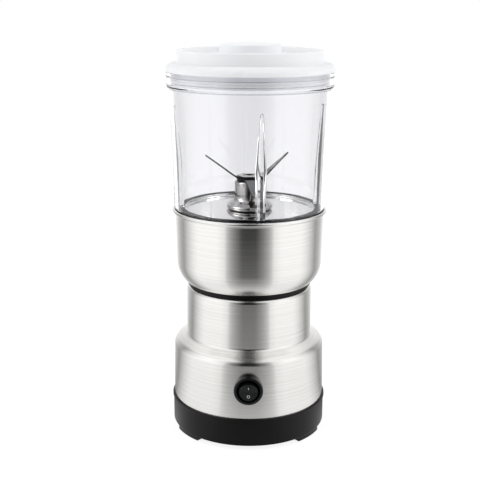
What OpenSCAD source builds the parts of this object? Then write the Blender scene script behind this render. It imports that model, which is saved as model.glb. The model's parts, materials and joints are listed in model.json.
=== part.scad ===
/* [Base] */
// Radius of the black skirt
skirt_r = 50.3; // [50.2:0.1:52]
// Height of the feet under the skirt
foot_h = 3; // [2.5:0.5:4]
// Height of the skirt's wall
skirt_h = 18.3; // [17:0.1:20]
// Wall of the black mouldings
wall = 2.4; // [2:0.1:2.8]

/* [Steel housing] */
// Radius of the drum where it starts to turn in
drum_r = 49.15; // [49:0.05:49.3]
// Height where the drum starts to turn in
shoulder_z = 56.2; // [54:0.1:58]
// Radius of the bend between drum and shoulder
shoulder_bend = 5; // [3.5:0.5:6]
// Slope of the shoulder, in degrees from level
shoulder_slope = 28; // [24:1:32]
// Radius of the neck
neck_r = 40.9; // [40.7:0.1:41.5]
// Height of the neck's top edge
neck_top = 96.4; // [95:0.1:98]
// Thickness of the steel sheet
sheet = 0.7; // [0.5:0.1:0.8]

/* [Switch] */
// Height of the switch's centre
switch_z = 41.5; // [38:0.5:43]
// Radius of the switch's bezel
bezel_r = 9.2; // [8.8:0.1:10]
// How far the bezel stands out of the drum
bezel_out = 4.5; // [3.5:0.1:5]
// How far the rocker tips from one side to the other, in degrees
rocker_throw = 18; // [12:1:20]

/* [Jar base] */
// Largest radius of the steel bowl under its rim
bowl_r = 47.7; // [47.4:0.1:48]
// Radius of the steel bowl's lower curve
bowl_curve = 18.3; // [16:0.1:19]
// Height of the bowl, from its lower edge to the middle of its rolled rim
bowl_h = 46.5; // [45:0.1:48]
// Radius of the rolled rim's wire
rim_wire = 1.15; // [1:0.05:1.3]

/* [Clear jar] */
// Outer radius of the jar at its foot
jar_foot_r = 48.4; // [48.2:0.1:48.8]
// Outer radius of the jar under its rim band
jar_top_r = 51.2; // [50.6:0.1:51.6]
// Height of the jar from the seal to its top
jar_h = 86.3; // [70:0.1:110]
// Thickness of the jar's wall
jar_wall = 2.3; // [2:0.1:2.6]
// Number of ribs inside the jar
rib_count = 4; // [3:1:6]
// Turn of the ribs round the jar, in degrees
rib_turn = 8.2; // [0:0.1:30]

/* [Blades] */
// Reach of the longer upturned wing
blade_reach = 28.6; // [24:0.2:32]
// Angle of the longer upturned wing, in degrees
blade_rise = 36.5; // [30:0.5:40]
// Turn of the blade set at rest, in degrees
blade_turn = 14; // [0:1:45]

/* [Lid] */
// Radius of the lid's raised wall
lid_r = 45.9; // [45:0.1:46.5]
// Height of the lid above the jar
lid_h = 13.3; // [12:0.1:16]
// Radius of the filler cap
cap_r = 19.5; // [18:0.5:22]

/* [Hidden] */

$fn = 96;
black = [0.09, 0.09, 0.1];
steel = [0.78, 0.78, 0.77];
slip = 0.05;           // running clearance of a shaft, and of a screw in its hole

// Heights of the base
skirt_z = foot_h;
skirt_top = skirt_z + skirt_h;
floor_top = skirt_z + wall;
lip_r = skirt_r + 0.5;
drum_foot_r = drum_r + 0.55;
neck_top_r = neck_r - 0.2;
neck_bend = 2.5;
cove = 1.6;            // fillet between shoulder and neck
foot_angle = 54;       // from the front to the middle of a foot
foot_span = 26;
foot_out = skirt_r - 0.5;
foot_in = foot_out - 5.6;

// Cord inlet, in the rear of the skirt
cord_z = 10.6;
cord_r = 3.1;
cord_bush_r = 4.2;
cord_boss_r = 6.3;
cord_boss = 0.8;

// Switch: the rocker tips about an axle behind the bezel's face
pivot_y = -(drum_r + 1.2);
bezel_face = bezel_out - 1.2;
rocker_r = 5.9;
axle_r = 1.2;
throat_r = rocker_r + 0.95;
barrel_r = 7.7;
barrel_back = -15;

// Cup seat
seat_z = neck_top + 1.6;      // face that carries the jar
well_r = 35.4;
seat_lip_r = 37.7;    // opening in the top of the neck
well_floor = 75;
column_r = 3.5;
column_at = [for (x = [-1, 1], y = [-1, 1]) [16 * x, 29 * y]];
column_z = 8;
lug_count = 3;
lug_w = 8.6;
lug_out = 1.6;

// Motor
shaft_r = 3;
bush_r = 5.6;
core_z = 34;
core_h = 22;
core_x = 56;
core_y = 46;
pole_r = 15.3;
pole_w = 18.6;         // width of a field pole's stem
window_x = 22.5;       // openings in the core, for the coils
window_y = 18;
armature_r = 14.7;
motor_screw_at = [for (x = [-1, 1], y = [-1, 1]) [24.9 * x, 20 * y]];
motor_screw_r = 1.5;
bracket_z = 12;
top_bracket_z = 68;
coil_over = 5.5;       // how far the coils stand out of the core's ends
commutator_z = 19;
commutator_r = 9;
brush_w = 5;
brush_z = commutator_z + 5.5;
fan_z = 62;
coupler_z = 78;
coupler_r = 12.5;
coupler_h = 10;
spline_r = 9.4;
spline_w = 2.9;

// Jar base
bowl_z = seat_z + 1.7;        // lower edge of the steel bowl
bowl_rim_z = bowl_z + bowl_h;
bowl_foot_r = bowl_r - 0.75;
bowl_hole_r = 29;             // hole in the bowl's floor
holder_z = bowl_z + 0.8;
curve_z = bowl_z + 13.4;
spigot_r = well_r - 0.8;
spigot_z = 84;
seal_z = bowl_rim_z + 0.8;    // top of the holder, under the seals
jar_z = seal_z + 0.6;         // foot of the clear jar's wall
jar_tongue_r = 45.8;          // tongue under the jar, in the holder's groove
tongue_t = 1.4;
plate_r = 42;
plate_z = seal_z - 1.5;
plate_h = 1;
floor_z = plate_z + plate_h;
plate_bed_r = plate_r + 0.4;  // recess in the holder, for the plate
deck_z = seal_z - 4.4;        // underside of the holder's deck
jar_screw_at = [for (a = [45 : 90 : 315]) 26 * [cos(a), sin(a)]];

// Clear jar
jar_top = jar_z + jar_h;
band_h = 10;
band_r = jar_top_r + 1.4;
bore_r = band_r - 2.5;         // mouth of the jar
rib_h = 0.757 * jar_h;
rib_foot_z = jar_z + 0.9;
ring_z = rib_foot_z - 0.2;     // top of the clear ring round the plate

// Blade set
hub_r = 9.6;
hub_flange_r = 14.9;
hub_rim = 1.7;                 // radius of the flange's round rim
hub_bead = 1.5;                // radius of the bead round the tower's top
hub_lip = 0.2;                 // how far the bead stands out from the tower
stem_r = 8;                    // threaded stem under the flange
hub_top = floor_z + 18.4;
blade_t = 1;
upper_w = 7.8;
lower_w = 10.4;
upper_root = 8;                // where the upper wings leave the flat middle
middle_r = 7.4;                // round middle of the upper blade
short_reach = blade_reach - 3.2;
short_rise = blade_rise + 5.5;
blade_fall = 43;
lower_root = 8.2;
lower_reach = 20.5;
washer_r = 8.2;                // down to where the lower blade bends
washer_z = hub_top + 0.3;
washer_h = 0.4;                // washer's thickness under the lower blade
blade_z = washer_z + washer_h;
nut_z = blade_z + 2 * blade_t;
nut_h = 1.1;
sleeve_r = 4.2;                // threaded sleeve under the nut's head
sleeve_z = washer_z - 1.5;
socket_r = 3.46;               // corner radius of the nut's 6 mm hexagonal socket
socket_depth = 2.6;

// Lid
plug_r = bore_r - 0.6;         // the lid's plug in the jar's mouth
plug_z = jar_top - 7.8;
gasket_z = plug_z + 1.3;       // groove for the gasket
gasket_h = 4;
lid_flange_r = band_r + 0.5;
lid_top = jar_top + lid_h;
recess_r = lid_r - 2.7;
recess_z = lid_top - 3.5;
filler_r = 16;
cap_top = lid_top + 3.5;

// Points of an arc from angle a0 to a1 round a centre
function arc(centre, r, a0, a1, steps = 8) =
    [for (i = [0 : steps]) let (a = a0 + (a1 - a0) * i / steps)
        centre + r * [cos(a), sin(a)]];

function reversed(points) = [for (i = [len(points) - 1 : -1 : 0]) points[i]];

// A solid of revolution about the Z axis, from its half section
module turned(points) {
    rotate_extrude() polygon(points);
}

module ring(r_out, r_in, z, h) {
    difference() {
        translate([0, 0, z]) cylinder(r = r_out, h = h);
        translate([0, 0, z - 1]) cylinder(r = r_in, h = h + 2);
    }
}

// Children copied round the Z axis
module around(count, from = 0) {
    for (i = [0 : count - 1]) rotate([0, 0, from + 360 * i / count]) children();
}

module at_each(places) {
    for (p = places) translate([p[0], p[1], 0]) children();
}

// A block of a ring: from radius r_in to r_out, over an angle about the -Y direction
module ring_block(r_out, r_in, z, h, middle, span) {
    reach = 2 * r_out;
    intersection() {
        ring(r_out, r_in, z, h);
        rotate([0, 0, middle]) translate([0, 0, z - 1]) linear_extrude(h + 2)
            polygon([[0, 0], reach * [sin(-span / 2), -cos(span / 2)],
                     reach * [sin(span / 2), -cos(span / 2)]]);
    }
}

// ---------- Base ----------

foot_middles = [foot_angle, 180 - foot_angle, 180 + foot_angle, -foot_angle];

module base_cover() {
    edge = 0.8;
    ledge = skirt_top - 4;
    color(black) difference() {
        union() {
            turned(concat(
                [[0, skirt_z]],
                arc([skirt_r - edge, skirt_z + edge], edge, -90, 0, 3),
                [[skirt_r, skirt_top - 2.2], [lip_r, skirt_top - 1.6],
                 [lip_r, skirt_top - 0.3], [lip_r - 0.3, skirt_top],
                 [drum_foot_r + 0.1, skirt_top], [drum_foot_r + 0.1, ledge],
                 [skirt_r - wall, ledge], [skirt_r - wall, floor_top], [0, floor_top]]));
            for (a = foot_middles)
                ring_block(foot_out, foot_in, 0.6, foot_h, a, foot_span);
            at_each(column_at) translate([0, 0, skirt_z])
                cylinder(r = 4.6, h = column_z - skirt_z);
            // flat seat for the cord inlet
            intersection() {
                translate([0, skirt_r + cord_boss, cord_z]) rotate([90, 0, 0])
                    cylinder(r = cord_boss_r, h = 6);
                translate([0, 0, skirt_z]) linear_extrude(skirt_h) difference() {
                    circle(r = 2 * skirt_r);
                    circle(r = skirt_r - wall);
                }
            }
        }
        for (a = foot_middles)
            ring_block(foot_out - 1, foot_in + 1, -1, 3.2, a, foot_span - 4);
        at_each(column_at) {
            translate([0, 0, skirt_z - 1]) cylinder(r = 1.7, h = column_z);
            translate([0, 0, skirt_z - 1]) cylinder(r = 3.4, h = 3.2);
        }
        // cooling slots
        translate([0, 0, skirt_z - 1]) linear_extrude(wall + 2) around(12, 15)
            translate([18, 0]) square([9, 2.4], center = true);
        translate([0, skirt_r + 5, cord_z]) rotate([90, 0, 0])
            cylinder(r = cord_bush_r, h = 12);
    }
}

module foot_pads() {
    color([0.14, 0.14, 0.14])
        for (a = foot_middles)
            ring_block(foot_out - 1.1, foot_in + 1.1, 0, 2.2, a, foot_span - 4.3);
}

module base_screws() {
    color("dimgray") at_each(column_at) translate([0, 0, skirt_z]) {
        translate([0, 0, 0.4]) difference() {
            cylinder(r = 3.1, h = 1.8);
            translate([0, 0, -1]) linear_extrude(2) cross(4, 0.9);
        }
        cylinder(r = 1.45, h = 18);
    }
}

module cross(size, bar) {
    square([size, bar], center = true);
    square([bar, size], center = true);
}

// Outer line of the steel housing, moved in by t
function housing_line(t) =
    let (bend_end = 90 - shoulder_slope,
         slope_top = shoulder_z + shoulder_bend * sin(bend_end)
             + (drum_r - shoulder_bend + shoulder_bend * cos(bend_end) - neck_r)
               * tan(shoulder_slope))
    concat(
        [[drum_foot_r - t, skirt_top - 4]],
        arc([drum_r - shoulder_bend, shoulder_z], shoulder_bend - t, 0, bend_end, 10),
        arc([neck_r + cove, slope_top + cove * (1 - sin(shoulder_slope)) / cos(shoulder_slope)],
            cove + t, 270 - shoulder_slope, 180, 4),
        arc([neck_top_r - neck_bend, neck_top - neck_bend], neck_bend - t, 0, 90, 5));

module housing() {
    color(steel) difference() {
        turned(concat(housing_line(0), [[seat_lip_r, neck_top], [seat_lip_r, neck_top - sheet]],
                      reversed(housing_line(sheet))));
        translate([0, 10 - drum_r, switch_z]) rotate([90, 0, 0])
            cylinder(r = barrel_r + 0.2, h = 20);
    }
}

module cup_seat() {
    floor_under = well_floor - 3;
    sleeve_r = seat_lip_r - 0.2;
    flange_r = neck_top_r - 1.3;
    color(black) difference() {
        union() {
            turned([[9.5, floor_under], [sleeve_r, floor_under], [sleeve_r, neck_top],
                    [flange_r, neck_top], [flange_r, seat_z - 0.4], [flange_r - 0.4, seat_z],
                    [well_r, seat_z], [well_r, well_floor], [9.5, well_floor]]);
            // columns for the base's screws
            at_each(column_at) translate([0, 0, column_z])
                cylinder(r = column_r, h = floor_under - column_z);
            // bosses for the motor's screws
            at_each(motor_screw_at) translate([0, 0, floor_under]) cylinder(r = 3.4, h = 6.5);
        }
        at_each(column_at) translate([0, 0, column_z - 1]) cylinder(r = 1.5, h = 16);
        at_each(motor_screw_at) translate([0, 0, floor_under - 1])
            cylinder(r = motor_screw_r + slip, h = 6.2);
        // slots for the jar's lugs, open at the top
        around(lug_count) translate([-lug_w / 2 - 0.4, -well_r - 1.3, well_floor + 2])
            cube([lug_w + 0.8, 2.6, seat_z - well_floor]);
    }
}

module cord_inlet() {
    seat = skirt_r + cord_boss;
    inside = skirt_r - wall - 0.5;
    color(black) translate([0, 0, cord_z]) rotate([-90, 0, 0]) difference() {
        union() {
            translate([0, 0, inside - 2]) cylinder(r = cord_bush_r - 0.1, h = seat + 3 - inside);
            translate([0, 0, seat]) cylinder(r = cord_boss_r - 0.6, h = 1.5);
            translate([0, 0, inside - 2]) cylinder(r = cord_bush_r + 0.8, h = 1.6);
        }
        cylinder(r = cord_r, h = skirt_r + 9);
    }
}

// ---------- Switch ----------

// Children with their Z axis pointing out of the drum at the rocker's axle
module at_switch() {
    translate([0, pivot_y, switch_z]) rotate([90, 0, 0]) children();
}

module switch_body() {
    rim = 1;
    color(black) difference() {
        at_switch() difference() {
            turned(concat(
                [[0, barrel_back + 1.5], [throat_r, barrel_back + 1.5],
                 [throat_r, bezel_face - 2.4], [bezel_r - 1.6, bezel_face]],
                arc([bezel_r - rim, bezel_face - rim], rim, 90, 0, 4),
                [[bezel_r, -3], [barrel_r, -3], [barrel_r, barrel_back], [0, barrel_back]]));
            rotate([0, 90, 0]) cylinder(r = axle_r + slip, h = 2 * barrel_r - 0.6, center = true);
            for (y = [-5, 0, 5]) translate([0, y, barrel_back])
                cube([5, 1, 4], center = true);
        }
        // saddle that fits the round drum
        difference() {
            turned([[0, 0], [drum_foot_r + 0.03, skirt_top], [drum_r + 0.03, shoulder_z],
                    [0, shoulder_z]]);
            at_switch() translate([0, 0, -30]) cylinder(r = barrel_r + 0.05, h = 60);
        }
    }
}

module switch_terminals() {
    color("goldenrod") at_switch()
        for (y = [-5, 0, 5]) translate([-2.4, y - 0.4, barrel_back - 7.5])
            cube([4.8, 0.8, 9]);
}

// Two faces that meet in a shallow valley over the axle, tipped to the off side
module switch_rocker() {
    tilt = rocker_throw / 2;
    valley = bezel_face - 0.2;
    ends = valley + rocker_r * tan(tilt);
    color([0.13, 0.13, 0.14]) at_switch() rotate([tilt, 0, 0]) {
        intersection() {
            translate([0, 0, -3.4]) cylinder(r = rocker_r, h = 12);
            rotate([90, 0, 90]) linear_extrude(2 * rocker_r + 2, center = true)
                polygon([[-rocker_r - 1, -4], [rocker_r + 1, -4], [rocker_r + 1, ends],
                         [rocker_r, ends], [0, valley], [-rocker_r, ends], [-rocker_r - 1, ends]]);
        }
        rotate([0, 90, 0]) cylinder(r = axle_r, h = 2 * barrel_r - 1, center = true);
    }
}

// ---------- Motor ----------

module rounded_rect(x, y, r) {
    square([x - 2 * r, y], center = true);
    square([x, y - 2 * r], center = true);
    for (i = [-1, 1], j = [-1, 1]) translate([i * (x / 2 - r), j * (y / 2 - r)]) circle(r = r);
}

module stator_core() {
    color([0.45, 0.45, 0.47]) translate([0, 0, core_z]) linear_extrude(core_h) difference() {
        rounded_rect(core_x, core_y, 5);
        circle(r = pole_r);
        for (side = [-1, 1]) difference() {
            translate([-window_x, side > 0 ? pole_w / 2 : -window_y])
                square([2 * window_x, window_y - pole_w / 2]);
            difference() {
                circle(r = pole_r + 2);
                square([14, 2 * core_y], center = true);
            }
        }
        for (p = motor_screw_at) translate(p) circle(r = motor_screw_r + slip);
    }
}

module field_coils() {
    inner = 17.9;
    outer = window_x - 0.3;
    hole_y = pole_w / 2 + 0.3;
    color([0.72, 0.36, 0.16]) for (side = [-1, 1])
        translate([side * (inner + outer) / 2, 0, core_z + core_h / 2])
            rotate([90, 0, 90]) linear_extrude(outer - inner, center = true) difference() {
                rounded_rect(2 * (window_y - 0.4), core_h + 2 * coil_over, 4);
                square([2 * hole_y, core_h + 0.8], center = true);
            }
}

module bush(z, r_out, h, bore) {
    difference() {
        union() {
            translate([0, 0, z]) cylinder(r = r_out, h = h);
            translate([0, 0, z + h - 1]) cylinder(r = r_out + 1.2, h = 1);
        }
        translate([0, 0, z - 1]) cylinder(r = bore, h = h + 2);
    }
}

module lower_bush() {
    color([0.7, 0.55, 0.3]) bush(bracket_z - 3, bush_r, 8, shaft_r + slip);
}

module upper_bush() {
    color([0.7, 0.55, 0.3]) bush(top_bracket_z - 1, bush_r, 7, shaft_r + slip);
}

// Arms from the middle to the four screws
module bracket_arms(w) {
    for (p = motor_screw_at) {
        reach = norm(p);
        rotate(atan2(p[1], p[0])) translate([0, -w / 2]) square([reach, w]);
        translate(p) circle(r = 3.4);
    }
}

module lower_bracket() {
    color([0.75, 0.74, 0.7]) difference() {
        union() {
            translate([0, 0, bracket_z]) linear_extrude(3.5) {
                circle(r = 12);
                bracket_arms(6);
            }
            translate([0, 0, bracket_z - 2.5]) cylinder(r = 8, h = 6);
            at_each(motor_screw_at) translate([0, 0, bracket_z])
                cylinder(r = 3.4, h = core_z - bracket_z);
            // seats for the brush holders
            for (side = [-1, 1]) translate([-4, side > 0 ? 11 : -24, bracket_z])
                cube([8, 13, brush_z - 3.6 - bracket_z]);
        }
        translate([0, 0, bracket_z - 4]) cylinder(r = bush_r + 0.02, h = 12);
        at_each(motor_screw_at) translate([0, 0, bracket_z - 1])
            cylinder(r = motor_screw_r + slip, h = core_z);
    }
}

module upper_bracket() {
    color([0.75, 0.74, 0.7]) difference() {
        union() {
            translate([0, 0, top_bracket_z]) linear_extrude(3) {
                circle(r = 11);
                bracket_arms(6);
            }
            translate([0, 0, top_bracket_z - 0.5]) cylinder(r = 8, h = 5.3);
            at_each(motor_screw_at) translate([0, 0, core_z + core_h])
                cylinder(r = 3.4, h = top_bracket_z - core_z - core_h);
        }
        translate([0, 0, top_bracket_z - 4]) cylinder(r = bush_r + 0.02, h = 12);
        at_each(motor_screw_at) translate([0, 0, core_z])
            cylinder(r = motor_screw_r + slip, h = core_z + 10);
    }
}

// Children at each brush, with X across it and Y pointing away from the commutator
module at_brushes() {
    for (side = [0, 180]) rotate([0, 0, side]) translate([0, 0, brush_z]) children();
}

module brush_holders() {
    color("goldenrod") at_brushes() difference() {
        translate([-4, 11, -3.6]) cube([8, 13, 7.2]);
        translate([-brush_w / 2 - 0.1, 10, -brush_w / 2 - 0.1])
            cube([brush_w + 0.2, 13, brush_w + 0.2]);
    }
}

module brushes() {
    color([0.2, 0.2, 0.2]) at_brushes() difference() {
        translate([-brush_w / 2, 8, -brush_w / 2]) cube([brush_w, 10, brush_w]);
        cylinder(r = commutator_r + 0.2, h = 20, center = true);
    }
}

// A round wire wound along +Z, as one swept solid
module coil_spring(r, wire_r, length, turns) {
    sides = 6;
    steps = 14 * turns;
    points = [for (i = [0 : steps]) let (a = 360 * turns * i / steps)
        for (k = [0 : sides - 1]) let (b = 360 * k / sides, q = r + wire_r * cos(b))
            [q * cos(a), q * sin(a), wire_r + (length - 2 * wire_r) * i / steps
                                     + wire_r * sin(b)]];
    skin = [for (i = [0 : steps - 1], k = [0 : sides - 1])
        let (a = i * sides + k, b = i * sides + (k + 1) % sides)
            [a, a + sides, b + sides, b]];
    ends = [[for (k = [0 : sides - 1]) k],
            [for (k = [sides - 1 : -1 : 0]) steps * sides + k]];
    polyhedron(points, concat(skin, ends));
}

module brush_springs() {
    color("silver") at_brushes() translate([0, 18, 0]) rotate([-90, 0, 0])
        coil_spring(1.9, 0.3, 5, 5);
}

module motor_mounts() {
    color([0.14, 0.14, 0.14]) at_each(motor_screw_at)
        ring(4.2, motor_screw_r + slip, top_bracket_z + 3, 1);
}

module motor_screws() {
    color("dimgray") at_each(motor_screw_at) {
        translate([0, 0, bracket_z - 2]) difference() {
            cylinder(r = 2.8, h = 2);
            translate([0, 0, -0.1]) linear_extrude(1.2) cross(3.6, 0.8);
        }
        translate([0, 0, bracket_z - 1]) cylinder(r = motor_screw_r, h = well_floor + 3 - bracket_z);
    }
}

// ---------- Rotor ----------

module motor_shaft() {
    color(steel) translate([0, 0, bracket_z - 3.5])
        cylinder(r = shaft_r, h = coupler_z + 2.8 - bracket_z + 3.5);
}

module armature_core() {
    color([0.45, 0.45, 0.47]) translate([0, 0, core_z]) linear_extrude(core_h) difference() {
        circle(r = armature_r);
        circle(r = shaft_r + 0.02);
        around(12) translate([armature_r - 2.6, 0]) {
            circle(r = 1.7);
            translate([0, -0.5]) square([4, 1]);
        }
    }
}

module armature_windings() {
    reach = 13;
    color([0.72, 0.36, 0.16]) {
        turned(concat([[4.2, core_z + core_h], [reach, core_z + core_h]],
                      arc([reach - 2, core_z + core_h + 2.6], 2, 0, 90, 4),
                      [[4.2, core_z + core_h + 4.6]]));
        turned(concat([[4.2, core_z], [4.2, core_z - 4]],
                      arc([reach - 2, core_z - 2], 2, -90, 0, 4), [[reach, core_z]]));
    }
}

module commutator() {
    bars = 12;
    color([0.75, 0.42, 0.2]) translate([0, 0, commutator_z]) linear_extrude(10.5) difference() {
        circle(r = commutator_r);
        circle(r = shaft_r + 0.02);
        around(bars) translate([commutator_r - 0.7, -0.25]) square([2, 0.5]);
    }
}

module cooling_fan() {
    blades = 11;
    color([0.2, 0.2, 0.22]) difference() {
        union() {
            translate([0, 0, fan_z]) cylinder(r = 19, h = 0.8);
            translate([0, 0, fan_z]) cylinder(r = 5.5, h = 4.4);
            translate([0, 0, fan_z + 0.5]) linear_extrude(3.9) around(blades)
                difference() {
                    translate([11.5, -6]) circle(r = 9);
                    translate([11.5, -6]) circle(r = 8);
                    translate([0, -30]) square([40, 29]);
                    circle(r = 5);
                }
        }
        translate([0, 0, fan_z - 1]) cylinder(r = shaft_r + 0.02, h = 7);
    }
}

// Star outline of the coupling: a round middle and six arms
module spline(middle, reach, w) {
    circle(r = middle);
    for (a = [0 : 60 : 120]) rotate(a) square([2 * reach, w], center = true);
}

module drive_coupler() {
    color([0.92, 0.92, 0.9]) difference() {
        union() {
            translate([0, 0, coupler_z]) cylinder(r = coupler_r, h = coupler_h);
            translate([0, 0, coupler_z - 1.5]) cylinder(r = 7, h = 2);
        }
        translate([0, 0, coupler_z + 3]) linear_extrude(coupler_h)
            spline(5.5, spline_r + 0.5, spline_w + 0.8);
        translate([0, 0, coupler_z - 3]) cylinder(r = shaft_r + 0.02, h = 8);
    }
}

// ---------- Jar base ----------

// Outer line of the bowl's wall, moved in by t, from the foot up
function bowl_line(t) =
    let (centre = [bowl_foot_r - bowl_curve, curve_z],
         low_end = -asin((curve_z - bowl_z) / bowl_curve))
    concat(arc(centre, bowl_curve - t, low_end, 0, 12),
           [[bowl_r - t, bowl_rim_z - 3], [bowl_r + 0.5 - t / 2, bowl_rim_z - 1]]);

module jar_base_shell() {
    thick = 0.8;
    rim_r = bowl_r + 0.9;
    foot = bowl_line(thick);
    color(steel) {
        turned(concat([[bowl_hole_r, bowl_z]], bowl_line(0), [[rim_r, bowl_rim_z]],
                      reversed(bowl_line(thick)),
                      [[foot[0][0] - 0.3, bowl_z + thick], [bowl_hole_r, bowl_z + thick]]));
        rotate_extrude() translate([rim_r, bowl_rim_z]) circle(r = rim_wire);
    }
}

module jar_foot() {
    flange_r = bowl_line(0)[0][0] - 0.8;
    web_z = bowl_z - 3.5;
    color(black) difference() {
        union() {
            // flange, web, spigot and bearing tube
            turned([[6.5, web_z - 4], [9.5, web_z - 4], [9.5, web_z],
                    [spigot_r - 2.2, web_z], [spigot_r - 2.2, spigot_z], [spigot_r, spigot_z],
                    [spigot_r, seat_z], [flange_r, seat_z], [flange_r, bowl_z],
                    [9.5, bowl_z], [9.5, bowl_z + 12], [6.5, bowl_z + 12]]);
            around(lug_count) translate([-lug_w / 2, -spigot_r - lug_out, spigot_z + 2])
                cube([lug_w, lug_out + 1, 8]);
        }
        at_each(jar_screw_at) translate([0, 0, web_z - 1]) cylinder(r = 1.6, h = 6);
    }
}

// Outer line of the holder's cup, moved in by t, from its floor up
function holder_line(t) =
    [[bowl_foot_r - 11.5 - t, holder_z + 3], [bowl_foot_r - 4.5 - t, holder_z + 11],
     [bowl_foot_r - 3 - t, holder_z + 20], [bowl_foot_r - 2.4 - t, seal_z - 6]];

// Cup inside the steel bowl, open below: it carries the jar, the plate and the bearing tower
module jar_holder() {
    skin = 2.2;
    foot_r = bowl_foot_r - 11.5;
    top_r = bowl_r - 0.95;
    hole_r = stem_r + 0.7;
    color(black) difference() {
        union() {
            turned(concat(
                [[foot_r - skin, holder_z], [foot_r, holder_z]], holder_line(0),
                [[top_r - 0.2, seal_z - 5], [top_r, seal_z], [plate_bed_r, seal_z],
                 [plate_bed_r, plate_z], [hole_r, plate_z], [hole_r, deck_z],
                 [bowl_foot_r - 2.4 - skin, deck_z]],
                reversed(holder_line(skin))));
            at_each(jar_screw_at) translate([0, 0, holder_z])
                cylinder(r = 4, h = deck_z + 1 - holder_z);
        }
        at_each(jar_screw_at) translate([0, 0, holder_z - 1]) cylinder(r = 1.3, h = 11);
        ring(jar_tongue_r + 0.2, jar_tongue_r - tongue_t - 0.2, seal_z - 2.6, 4);
    }
}

module jar_screws() {
    color("dimgray") at_each(jar_screw_at) {
        translate([0, 0, bowl_z - 5.3]) difference() {
            cylinder(r = 2.8, h = 1.8);
            translate([0, 0, -0.1]) linear_extrude(1.2) cross(3.6, 0.8);
        }
        translate([0, 0, bowl_z - 4]) cylinder(r = 1.25, h = 13);
    }
}

module jar_seal() {
    color([0.08, 0.08, 0.08]) ring(jar_foot_r - 0.6, jar_tongue_r + 0.3, seal_z, jar_z - seal_z);
}

// Clear ring that holds the plate down in its recess
module plate_seal() {
    seal_r = jar_tongue_r - tongue_t - 0.3;
    lip = plate_r - 0.5;
    color([0.9, 0.95, 0.97, 0.35])
        turned([[plate_r + 0.05, plate_z], [plate_bed_r, plate_z], [plate_bed_r, seal_z],
                [seal_r, seal_z], [seal_r, ring_z - 0.6], [seal_r - 0.6, ring_z],
                [lip + 0.3, ring_z], [lip, ring_z - 0.3], [lip, floor_z],
                [plate_r + 0.05, floor_z]]);
}

module floor_plate() {
    color(steel)
        turned([[stem_r + slip, plate_z], [plate_r, plate_z], [plate_r, floor_z],
                [stem_r + slip, floor_z]]);
}

// Bearing tower: threaded stem, flange with a round rim, flare and bead
module blade_hub() {
    flare = 4;
    color(steel) difference() {
        turned(concat(
            [[0, floor_z - 12], [stem_r, floor_z - 12], [stem_r, floor_z],
             [hub_flange_r - hub_rim, floor_z]],
            arc([hub_flange_r - hub_rim, floor_z + 1.9], hub_rim, -80, 60, 6),
            arc([hub_r + flare, floor_z + 4.7 + flare], flare, 252, 180, 6),
            arc([hub_r + hub_lip - hub_bead, hub_top - hub_bead], hub_bead, -34, 90, 6),
            [[0, hub_top]]));
        translate([0, 0, floor_z - 13]) cylinder(r = shaft_r + 1.5, h = 40);
        translate([0, 0, floor_z + 4]) cylinder(r = bush_r + 0.02, h = 20);
    }
}

module hub_nut() {
    color(steel) difference() {
        translate([0, 0, deck_z - 4]) cylinder(r = 12.5, h = 4, $fn = 6);
        translate([0, 0, deck_z - 5]) cylinder(r = stem_r + slip, h = 6);
    }
}

module spindle_bushes() {
    color([0.7, 0.55, 0.3]) {
        ring(bush_r, shaft_r + slip, floor_z + 4, hub_top - floor_z - 5.5);
        ring(6.5, shaft_r + slip, bowl_z - 7, 14);
    }
}

// ---------- Clear jar ----------

// Outer radius of the jar's wall at height z
function jar_r(z) = let (h = (z - jar_z) / (jar_top - band_h - jar_z))
    jar_foot_r + (jar_top_r - jar_foot_r) * (0.55 * h + 0.45 * h * h);

function jar_wall_line(t, z0, z1, steps = 8) =
    [for (i = [0 : steps]) let (z = z0 + (z1 - z0) * i / steps) [jar_r(z) - t, z]];

module clear_jar() {
    band_z = jar_top - band_h;
    tongue_in = jar_tongue_r - tongue_t;
    color([0.9, 0.95, 0.97, 0.35]) {
        turned(concat(
            [[tongue_in, jar_z - 2.4], [jar_tongue_r, jar_z - 2.4],
             [jar_tongue_r, jar_z], [jar_foot_r - 0.5, jar_z]],
            jar_wall_line(0, jar_z + 0.8, band_z - 0.4),
            arc([band_r - 1.6, band_z + 1.4], 1.6, -60, 0, 4),
            [[band_r, jar_top - 2.6], [band_r + 0.45, jar_top - 1], [band_r + 0.45, jar_top],
             [bore_r + 0.4, jar_top], [bore_r, jar_top - 0.5], [bore_r, band_z + 2.2]],
            reversed(jar_wall_line(jar_wall, jar_z + 2.4, band_z - 0.4)),
            [[tongue_in, jar_z + 1]]));
        around(rib_count, rib_turn) rib();
    }
}

// One rib, on the -Y side: narrow at its top, widest low down, deepest at its foot
module rib() {
    top_z = jar_z + rib_h;
    belly_z = jar_z + 0.36 * jar_h;
    foot = 2.9;
    belly = 3.6;
    tip = 1.1;
    intersection() {
        turned(concat(jar_wall_line(jar_wall - 0.3, rib_foot_z, top_z),
                      [[jar_r(top_z) - jar_wall - 1.6, top_z],
                       [jar_r(belly_z) - jar_wall - 3.6, belly_z],
                       [jar_foot_r - jar_wall - 4, rib_foot_z]]));
        rotate([90, 0, 0]) linear_extrude(60)
            polygon(concat([[-foot, rib_foot_z], [foot, rib_foot_z], [belly, belly_z]],
                           arc([0, top_z - tip], tip, 0, 180), [[-belly, belly_z]]));
    }
}

// ---------- Blade set ----------

module blade_spindle() {
    foot = coupler_z + 4;
    end = nut_z + nut_h - socket_depth - 0.1;
    color(steel) translate([0, 0, foot]) cylinder(r = shaft_r, h = end - foot);
}

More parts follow.
